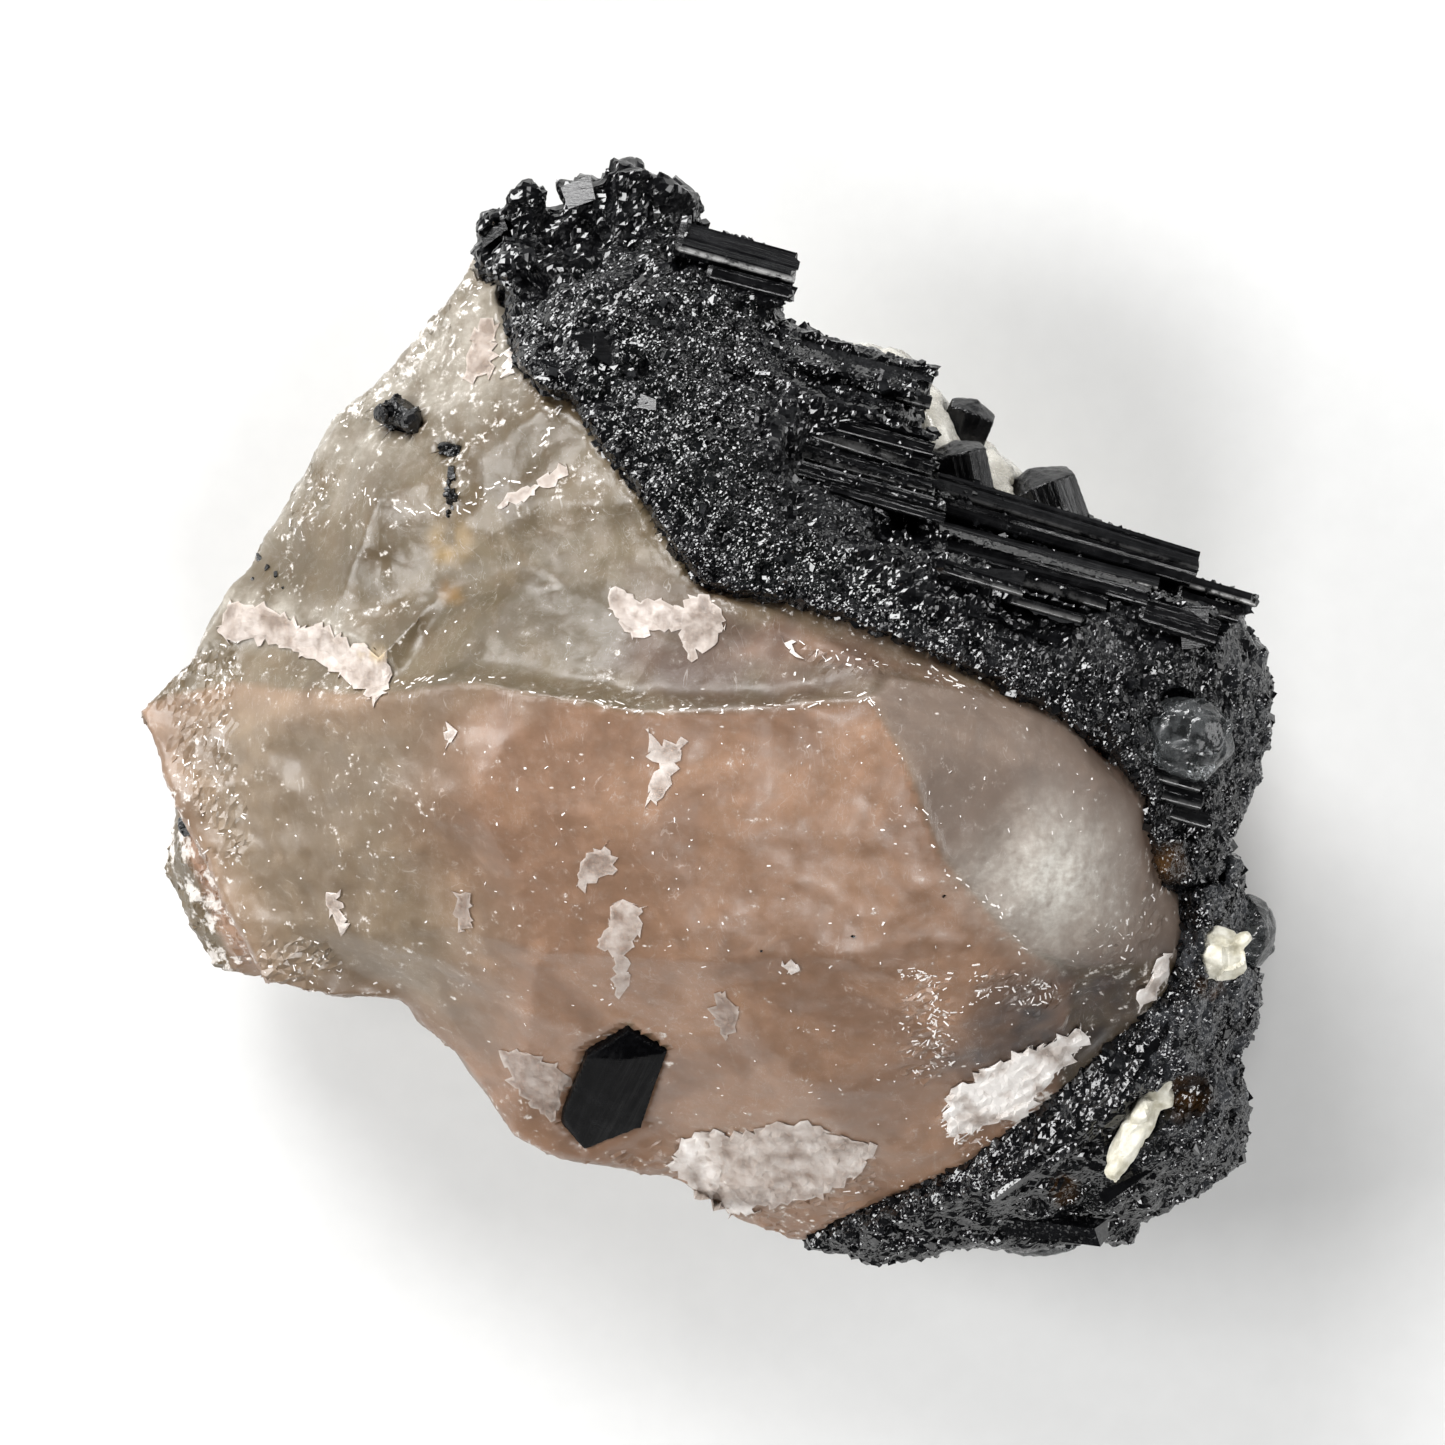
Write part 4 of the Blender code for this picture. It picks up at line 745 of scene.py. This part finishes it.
def flank_dust_and_sheen(points):
    """Lighter grey on the lower right mass, most towards the outer edge: partly rock dust, partly painted sheen."""
    return np.clip((points[:, 0] + 0.35 * points[:, 1] - 14.0) / 11.0, 0.05, 0.7)


def column_dust_and_sheen(points):
    """Lighter grey on the upper mass, only on its right end: partly rock dust, partly painted sheen for its glints."""
    return np.clip((points[:, 0] - 27.0) / 5.0, 0.03, 0.4)


def tree_of(pieces):
    """What a ray meets among some pieces, in millimetres."""
    parts = [(points_of(piece.data), [tuple(p.vertices) for p in piece.data.polygons]) for piece in pieces]
    points, faces = joined(parts)
    return BVHTree.FromPolygons(points, faces)


def ground_at(tree, x, y):
    """The highest surface over a place: its point and its direction, or None."""
    spot, outward, _, _ = tree.ray_cast(Vector((x, y, 100.0)), Vector((0, 0, -1)))
    return (spot, outward if outward.z > 0 else -outward) if spot else None


def scatter(piece, spacing, rng, keep):
    """Seeded points over a piece, with the surface's direction. keep(points, normals) gives each one's chance."""
    mesh = piece.data
    mesh.calc_loop_triangles()
    corners = points_of(mesh)
    tris = np.empty(len(mesh.loop_triangles) * 3, np.int32)
    mesh.loop_triangles.foreach_get("vertices", tris)
    a, b, c = (corners[tris.reshape(-1, 3)[:, i]] for i in range(3))
    cross = np.cross(b - a, c - a)
    area = np.linalg.norm(cross, axis=1) / 2
    count = int(area.sum() / spacing ** 2)
    pick = rng.choice(len(area), count, p=area / area.sum())
    u, v = rng.random(count), rng.random(count)
    over = u + v > 1
    u[over], v[over] = 1 - u[over], 1 - v[over]
    at = a[pick] + u[:, None] * (b - a)[pick] + v[:, None] * (c - a)[pick]
    out = cross[pick] / (2 * area[pick, None] + 1e-12)
    kept = rng.random(count) < keep(at, out)
    return at[kept], out[kept]


def turned_at_random(count, rng):
    """Random rotations, as matrices."""
    q = rng.normal(size=(count, 4))
    q /= np.linalg.norm(q, axis=1)[:, None]
    w, x, y, z = q.T
    return np.stack([
        1 - 2 * (y * y + z * z), 2 * (x * y - z * w), 2 * (x * z + y * w),
        2 * (x * y + z * w), 1 - 2 * (x * x + z * z), 2 * (y * z - x * w),
        2 * (x * z - y * w), 2 * (y * z + x * w), 1 - 2 * (x * x + y * y),
    ], axis=1).reshape(-1, 3, 3)


def blocks(turns, sizes, at, rng, skew=0.28):
    """Points and faces of broken blocks, one for each turn, size (x, y, z) and place."""
    block = np.array([(x, y, z) for x in (-1, 1) for y in (-1, 1) for z in (-1, 1)], float)
    quads = np.array([(0, 1, 3, 2), (4, 6, 7, 5), (0, 4, 5, 1), (2, 3, 7, 6), (0, 2, 6, 4), (1, 5, 7, 3)])
    count = len(at)
    shape = (block + skew * (rng.random((count, 8, 3)) - 0.5)) * (sizes / 2)[:, None, :]
    corners = np.einsum("nij,nkj->nki", turns, shape) + at[:, None, :]
    faces = (quads[None] + 8 * np.arange(count)[:, None, None]).reshape(-1, 4)
    return corners.reshape(-1, 3), faces


def make_grains(name, at, out, low, high, rng, material):
    """Broken grains with flat glinting faces, one closed block each, sunk into the surface they sit on."""
    count = len(at)
    size = low + (high - low) * rng.random(count) ** 2
    sizes = size[:, None] * (0.55 + 0.45 * rng.random((count, 3)))
    corners, faces = blocks(turned_at_random(count, rng), sizes, at - out * (size * 0.12)[:, None], rng)
    piece = new_piece(name, corners, faces)
    return finish(piece, material, "schorl", iron=stained(corners, IRON_STAINS), dust=0.1, glitter=0.15)


def needle_chance(at, out):
    """How likely a needle is to lie at each point: where the break doesn't glitter, in patches."""
    return (1 - sparkle_of(at)) * np.clip(0.2 + waves(at, 3.5, 81, 2), 0, 0.8) * (out[:, 2] > 0.7) * ~on_a_bar(at)


def make_needles(name, piece, heading, spacing, rng, material, given=()):
    """Slender crystals that lie along a heading, half sunk in a schorl mass.

    given adds some at (x, y) with their own heading in degrees, length and width."""
    at, out = scatter(piece, spacing, rng, needle_chance)
    clear_of = near_to(at, PALE_KNOBS, 1.5) == 0
    at, out = at[clear_of], out[clear_of]
    count = len(at)
    ways = np.array(heading) + rng.normal(size=(count, 3)) * 0.07
    sizes = np.stack([
        0.5 + 1.4 * rng.random(count) ** 2, rng.uniform(0.12, 0.32, count), rng.uniform(0.15, 0.3, count)], axis=1)
    tree = tree_of([piece])
    for x, y, degrees, length, width in given:
        spot, up = ground_at(tree, x, y)
        way = (math.cos(math.radians(degrees)), math.sin(math.radians(degrees)), 0.0)
        at, out = np.vstack([at, spot]), np.vstack([out, up])
        ways, sizes = np.vstack([ways, way]), np.vstack([sizes, (length, width, 0.8 * width)])
    along = ways - out * np.sum(ways * out, axis=1)[:, None]
    along /= np.linalg.norm(along, axis=1)[:, None]
    corners, faces = blocks(np.stack([along, np.cross(out, along), out], axis=2), sizes, at, rng, 0.2)
    return finish(new_piece(name, corners, faces), material, "schorl", iron=0.0, dust=0.05, glitter=0.2)


def grain_chance(at, out):
    """How likely a grain is to sit at each point: some on the broken face, none on the smooth crystals."""
    patchy = np.clip(0.5 + waves(at, 3.0, 51), 0.05, 1)
    return (0.2 + 0.8 * sparkle_of(at)) * patchy * ~on_a_bar(at) * (1 - 0.85 * inside(at, CREST, 0.8))


def crust_chance(at, out):
    """Grains stuck on the smooth columns, in patches."""
    return np.clip(waves(at, 2.2, 71, 3) * 2.5 - 0.5, 0, 0.8)


def seam_chance(at, out):
    """Grains in a row where the schorl meets the quartz."""
    return (near_to(at, ["smoky_quartz"], 0.75) > 0.3) * (at[:, 2] > 10) * 0.6


def ribs_along(corners, step, jut, rng):
    """A section's corners with fine ribs added between them, each standing out or in by up to jut."""
    ribbed = []
    for (ax, ay), (bx, by) in sides(corners):
        length = math.hypot(bx - ax, by - ay)
        out = ((by - ay) / length, (ax - bx) / length)
        ribbed.append((ax, ay))
        count = int(length / step)
        for k in range(1, count):
            t = (k + rng.uniform(-0.3, 0.3)) / count
            swing = rng.uniform(-1.0, 0.4) * jut
            ribbed.append((ax + (bx - ax) * t + out[0] * swing, ay + (by - ay) * t + out[1] * swing))
    return ribbed


def bar_section(width, depth, slant):
    """Corners of a bar that has split along its length: a steep south wall, and a top that falls north by slant."""
    w, d = width / 2, depth / 2
    return [(-w, -d), (w, -d), (w, d - slant * width), (-0.55 * w, d), (-0.7 * w, d - 0.02), (-w, d - 0.22 * width)]


def shaft(length, section, drop):
    """A closed shaft along X as points and faces. drop gives how far short of its end each rib stops."""
    count = len(section)
    rings = []
    for share, shrink in ((0.0, 0.94), (0.05, 1.0), (0.4, 1.0), (0.75, 0.995)):
        rings += [(length * share, y * shrink, z * shrink) for y, z in section]
    rings += [(length - drop[i], y * 0.99, z * 0.99) for i, (y, z) in enumerate(section)]
    faces = []
    for r in range(4):
        for i in range(count):
            j = (i + 1) % count
            faces.append((r * count + i, r * count + j, (r + 1) * count + j, (r + 1) * count + i))
    points = rings + [(0.0, 0.0, 0.0), (length, 0.0, 0.0)]
    for i in range(count):
        j = (i + 1) % count
        faces.append((j, i, len(points) - 2))
        faces.append((4 * count + i, 4 * count + j, len(points) - 1))
    return points, faces


def broken_end(count, step, rng):
    """How far each rib ends short where a bar has snapped: in a few flat steps."""
    drop = []
    while len(drop) < count:
        drop += [rng.random() ** 2 * step] * int(rng.integers(3, 8))
    return drop[:count]


def placed(foot, along):
    """The matrix that lays a shaft's own X along a direction from its foot, with its Z up."""
    along = along.normalized()
    side = Vector((0, 0, 1)).cross(along).normalized()
    turn = Matrix((along, side, along.cross(side))).transposed().to_4x4()
    return Matrix.Translation(Vector(foot) * MM) @ turn


def make_bars(material, rng):
    """The smooth columns, split along their length and snapped at their right ends."""
    parts, worn = [], []
    for x, y, z, length, width, depth, slant, bruise_and_highlight in BARS:
        section = ribs_along(bar_section(width, depth, slant), 0.16, 0.05, rng)
        points, faces = shaft(length, section, broken_end(len(section), 0.4, rng))
        end = in_columns(np.array([[x, y, z - depth / 2]]))[0]
        shift = np.array(end) - (length, 0.0, 0.0)
        points = np.array(points)
        points[:, 1] += (points[:, 0] - length) * rng.uniform(-0.03, 0.03)
        # The top edge of each bar is marked pale: partly a bruise, partly a painted highlight
        worn += [bruise_and_highlight if p[2] > depth / 2 - 0.04 else 0.0 for p in points]
        parts.append((points + shift, faces))
    piece = new_piece("schorl_bars", *joined(parts))
    piece.matrix_world = placed((0, 0, 0), COLUMN_AXIS)
    return finish(piece, material, "schorl", worn=np.array(worn))


def make_crystal(name, foot, tip, material, seed):
    """One crystal of its own, ribbed along its length."""
    piece = fine_copy(name + "_crystal", name, CRYSTAL_CELL)
    home = placed(foot, Vector(tip) - Vector(foot))
    turn = np.array(home.to_3x3())
    points, out = (points_of(piece.data) - foot) @ turn, normals_of(piece.data) @ turn
    ribs = waves(points * np.array([0.08, 1.0, 1.0]), 0.35, seed)
    move_points(piece.data, points + out * (0.05 * ribs)[:, None])
    piece.matrix_world = home
    return finish(piece, material, "schorl", name, worn=0.0)


def make_clump(name, size, material, seed):
    """A knot of short crystals, which shows as flats turned every way."""
    piece = fine_copy(name + "_crystals", name, CRYSTAL_CELL)
    points, out = points_of(piece.data), normals_of(piece.data)
    height = facets(points, size, 1.3, seed) + 0.08 * waves(points, 0.5, seed + 1, 2)
    move_points(piece.data, points + out * height[:, None])
    return finish(piece, material, "schorl", name, worn=0.0)


def plate(outline, height_of, thickness, rng, step=0.24, ragged=0.09):
    """A thin closed plate over an outline: points, faces and how near the rim each point is.

    height_of gives its top at x and y, and also reads how deep inside the rim the point lies, from -1 to 1."""
    rim = []
    for (ax, ay), (bx, by) in sides(outline):
        count = max(1, int(math.hypot(bx - ax, by - ay) / step))
        for k in range(count):
            t = k / count
            rim.append((ax + (bx - ax) * t + rng.normal() * ragged, ay + (by - ay) * t + rng.normal() * ragged))
    xs, ys = [p[0] for p in rim], [p[1] for p in rim]
    grid = [(x + rng.normal() * 0.06, y + rng.normal() * 0.06)
            for x in np.arange(min(xs), max(xs), step) for y in np.arange(min(ys), max(ys), step)]
    if grid:
        kept = inside(np.array([(*p, 0.0) for p in grid]), rim, 0.05) > 0.99
        grid = [p for p, keep in zip(grid, kept) if keep]
    order = list(range(len(rim)))
    flat, _, faces, _, _, _ = geometry.delaunay_2d_cdt([Vector(p) for p in rim + grid], [], [order], 1, 1e-5)
    deep = inside(np.array([(p.x, p.y, 0.0) for p in flat]), rim, 0.45) * 2 - 1
    top = [(p.x, p.y, height_of(p.x, p.y, float(d))) for p, d in zip(flat, deep)]
    low = [(x, y, z - thickness) for x, y, z in top]
    count = len(flat)
    edges = {(a, b) for f in faces for a, b in sides(f)}
    walls = sorted((a, a + count, b + count, b) for a, b in edges if (b, a) not in edges)
    closed = [tuple(f) for f in faces] + [tuple(count + i for i in reversed(f)) for f in faces] + walls
    return top + low, closed, np.concatenate([1 - deep, np.ones(count)])


def make_flake(name, outline, lift, white, tree, rng, material):
    """A thin crazed flake that follows the face, a little proud of it."""
    def height_of(x, y, deep):
        spot = ground_at(tree, x, y)
        ground = spot[0].z if spot else FACE_LEVEL
        across, along = CRUST_GRAIN[0] * y - CRUST_GRAIN[1] * x, CRUST_GRAIN[0] * x + CRUST_GRAIN[1] * y
        fibre = noise.noise(Vector((across * 3.2, along * 0.6, 5.0))) * (0.7 if lift > THICK_FLAKE else 0.15)
        rise = lift * (0.7 + 0.3 * min(1.0, max(0.0, deep) * 3.0))
        return ground + rise * (1.0 + fibre)
    points, faces, rim = plate(outline, height_of, lift + 0.1, rng, ragged=0.15)
    array = np.array(points)
    return finish(
        new_piece(name, points, faces), material, "pale_quartz", yellow=stained(array, YELLOW_STAINS),
        rim=np.clip(rim * 1.6 - 0.6, 0, 1) * (0.4 + 0.6 * white), white=white * patches(array, 0.8, 0.6, 1.2, 31, 2))


def make_cleaved_faces(tree, rng, material):
    """Flat mirror faces where a crystal in the mass has split."""
    parts = []
    for outline, lift, (east, north) in CLEAVED:
        middle = np.mean(np.array(outline), axis=0)
        spot = ground_at(tree, *middle)
        base = (spot[0].z if spot else COLUMN_LEVEL) + lift

        def height_of(x, y, _):
            return base + east * (x - middle[0]) + north * (y - middle[1])
        points, faces, _ = plate(outline, height_of, 1.2, rng, step=0.9, ragged=0.03)
        parts.append((points, faces))
    return finish(new_piece("schorl_cleaved_faces", *joined(parts)), material, "schorl", worn=0.0)


def make_slivers_and_glints(tree, rng, material):
    """Tiny white slivers on the quartz face: along its ridges, in the crushed patches as painted glints too, and all
    over.
    """
    spots = []
    for line, count in SLIVER_LINES:
        for _ in range(count):
            k = int(rng.integers(0, len(line) - 1))
            t = rng.random()
            (ax, ay), (bx, by) = line[k], line[k + 1]
            turn = math.atan2(by - ay, bx - ax) + rng.normal() * 0.5
            x, y = (a + (b - a) * t + rng.normal() * 0.15 for a, b in ((ax, bx), (ay, by)))
            spots.append((x, y, turn, 0.7))
    # In the crushed patches the white splinters are crumbs and also painted highlights for the glints there
    for outline, _, count in SHATTERED:
        xs, ys = [p[0] for p in outline], [p[1] for p in outline]
        tries = np.array([
            (rng.uniform(min(xs), max(xs)), rng.uniform(min(ys), max(ys)), 0.0) for _ in range(3 * count)])
        kept = tries[inside(tries, outline, 0.2) > 0.5][:count]
        spots += [(x, y, rng.uniform(0, 6.3), 0.6) for x, y, _ in kept]
    crust = np.array([(x, y, 0.0) for x, y in zip(rng.uniform(12.6, 21.0, 900), rng.uniform(-23.6, -17.0, 900))])
    crust = crust[inside(crust, FLAKES["crust"][0], 0.2) > 0.5][:200]
    spots += [(x, y, 0.75 + rng.normal() * 0.35, 1.3) for x, y, _ in crust]
    for _ in range(600):
        spots.append((rng.uniform(-29, 25), rng.uniform(-27, 25), rng.normal() * 0.8 + 1.0, 0.35))
    places, turns, sizes = [], [], []
    for x, y, turn, large in spots:
        hit = ground_at(tree, x, y)
        if hit is None or hit[0].z < 16 or hit[1].z < 0.35:
            continue
        spot, up = hit
        along = Vector((math.cos(turn), math.sin(turn), 0))
        along = (along - up * up.dot(along)).normalized()
        places.append(tuple(spot))
        turns.append(np.array([along, up.cross(along), up]).T)
        sizes.append((large * rng.uniform(0.15, 0.8) ** 1.5, rng.uniform(0.03, 0.1), 0.05))
    corners, faces = blocks(np.array(turns), np.array(sizes), np.array(places), rng, 0.7)
    piece = new_piece("quartz_slivers", corners, faces)
    return finish(piece, material, "pale_quartz", rim=1.0, white=1.0, yellow=0.0)


def make_black_specks(tree, rng, material):
    """Crumbs of schorl caught in the quartz."""
    places, turns, sizes = [], [], []
    for x, y, size in BLACK_SPECKS:
        hit = ground_at(tree, x, y)
        if hit:
            places.append(tuple(hit[0]))
            turns.append(turned_at_random(1, rng)[0])
            sizes.append((size, size * 0.7, size * 0.6))
    corners, faces = blocks(np.array(turns), np.array(sizes), np.array(places), rng, 0.5)
    return finish(new_piece("schorl_crumbs", corners, faces), material, "schorl", worn=0.0)


def make_lump(name, solid, material, slot, cell, seed, depth=0.35, cleaved=False):
    """A pale fragment, given its own breaks: shell-like, or flat where it is cleaved."""
    piece = fine_copy(name, solid, cell)
    points, out = points_of(piece.data), normals_of(piece.data)
    if cleaved:
        height = 0.05 + facets(points, 1.6, depth, seed) + 0.02 * waves(points, 0.4, seed + 1, 2)
    else:
        height = 0.05 + scoops(points, 1.8, depth, seed) + scoops(points, 0.8, depth * 0.35, seed + 1)
    rested = points[:, 2] < RESTED
    height[rested] = 0.0
    moved = points + out * height[:, None]
    moved[:, 2] = np.maximum(moved[:, 2], 0.0)
    move_points(piece.data, moved)
    return finish(piece, material, slot, solid, smooth=not cleaved)


def make_specimen():
    """Every piece of the stone, in a fixed order, because they share one row of random draws."""
    rng = np.random.default_rng(7)
    smoky, clear, vein = smoky_quartz(), clear_quartz(), vein_quartz()
    crazed, spar, hackly = crazed_quartz(), feldspar(), hackly_schorl()
    grown, dull = grown_schorl("schorl, ribbed as grown", 0.35), grown_schorl("schorl, ribbed and dull", 0.03)
    quartz = make_quartz(smoky, rng)
    columns = make_mass("schorl_column_mass", "schorl_columns", hackly, rng, 30, column_dust_and_sheen)
    flank = make_mass("schorl_flank_mass", "schorl_flank", hackly, rng, 40, flank_dust_and_sheen)
    for piece in (columns, flank):
        at, out = scatter(piece, 0.8, rng, grain_chance)
        clear_of = near_to(at, PALE_KNOBS, 0.6) == 0
        at, out = at[clear_of], out[clear_of]
        edge, edge_out = scatter(piece, 0.32, rng, seam_chance)
        at, out = np.concatenate([at, edge]), np.concatenate([out, edge_out])
        make_grains(piece.name + "_grains", at, out, 0.2, 0.7, rng, hackly)
    make_needles("schorl_column_needles", columns, COLUMN_AXIS, 1.1, rng, hackly)
    make_needles("schorl_flank_needles", flank, FLANK_HEADING, 1.0, rng, hackly, FLANK_NEEDLES)
    bars = make_bars(grown, rng)
    at, out = scatter(bars, 0.5, rng, crust_chance)
    turn = np.array(bars.matrix_world.to_3x3()).T
    make_grains("schorl_bar_grains", at @ turn, out @ turn, 0.15, 0.5, rng, hackly)
    for i, (name, (foot, tip)) in enumerate(CRYSTALS.items()):
        make_crystal(name, foot, tip, dull if name == "schorl_front" else grown, 100 + i)
    for i, (name, size) in enumerate(CLUMPS.items()):
        make_clump(name, size, grown, 110 + i)
    make_cleaved_faces(tree_of([columns]), rng, grown)
    make_lump("rear_quartz_body", "rear_quartz", vein, "pale_quartz", REAR_CELL, 70, 0.5)
    for i, name in enumerate(("quartz_bead", "quartz_chip_bottom", "quartz_chip_right")):
        make_lump(name + "_body", name, clear, "pale_quartz", CRYSTAL_CELL, 80 + i, cleaved=True)
    for i, name in enumerate(("feldspar_chip", "feldspar_blade")):
        make_lump(name + "_body", name, spar, "feldspar", CRYSTAL_CELL, 90 + i, 0.8, cleaved=True)
    ground = tree_of([quartz])
    for name, (outline, lift, white) in FLAKES.items():
        make_flake(name, outline, lift, white, ground, rng, crazed)
    make_slivers_and_glints(ground, rng, crazed)
    make_black_specks(ground, rng, grown)


def make_studio():
    """White paper, soft boxes low round it, and the camera over the broad face."""
    corners = [(x * PAPER_REACH, y * PAPER_REACH, -0.05) for x, y in ((-1, -1), (1, -1), (1, 1), (-1, 1))]
    paper = new_piece("paper", corners, [(0, 1, 2, 3)])
    paper.data.materials.append(paper_sweep())
    scene = bpy.context.scene
    scene.world = bpy.data.worlds.new("studio")
    scene.world.use_nodes = True
    add = partial(node, scene.world.node_tree)
    way = add("TexCoord", give="Generated")
    high, north = (add("SeparateXYZ", give=axis, Vector=way) for axis in "ZY")
    glow = add("MapRange", Value=high, From_Min=0.1, From_Max=0.9, To_Min=0.50, To_Max=0.03)
    side = add("MapRange", Value=north, From_Min=-0.8, From_Max=0.3, To_Min=0.15, To_Max=1.0)
    glow = add("Math", TIMES, Value=glow, Value_001=side)
    add(scene.world.node_tree.nodes["Background"], Strength=glow, Color="#F4F6FA")
    for name, place, size, power in SOFT_BOXES:
        lamp = bpy.data.lights.new(name, "AREA")
        lamp.size = size
        lamp.energy = power
        box = bpy.data.objects.new(name, lamp)
        scene.collection.objects.link(box)
        box.location = place
        box.rotation_euler = (Vector(LIT_SPOT) - box.location).to_track_quat("-Z", "Y").to_euler()
    camera = bpy.data.objects.new("camera", bpy.data.cameras.new("camera"))
    scene.collection.objects.link(camera)
    camera.location = (*VIEW_MIDDLE, FACE_HEIGHT + CAMERA_DISTANCE)
    camera.data.sensor_width = SENSOR
    camera.data.lens = SENSOR * CAMERA_DISTANCE / VIEW_WIDTH
    camera.data.clip_start = 0.01
    scene.camera = camera
    scene.view_settings.view_transform = "Standard"


make_specimen()
make_studio()
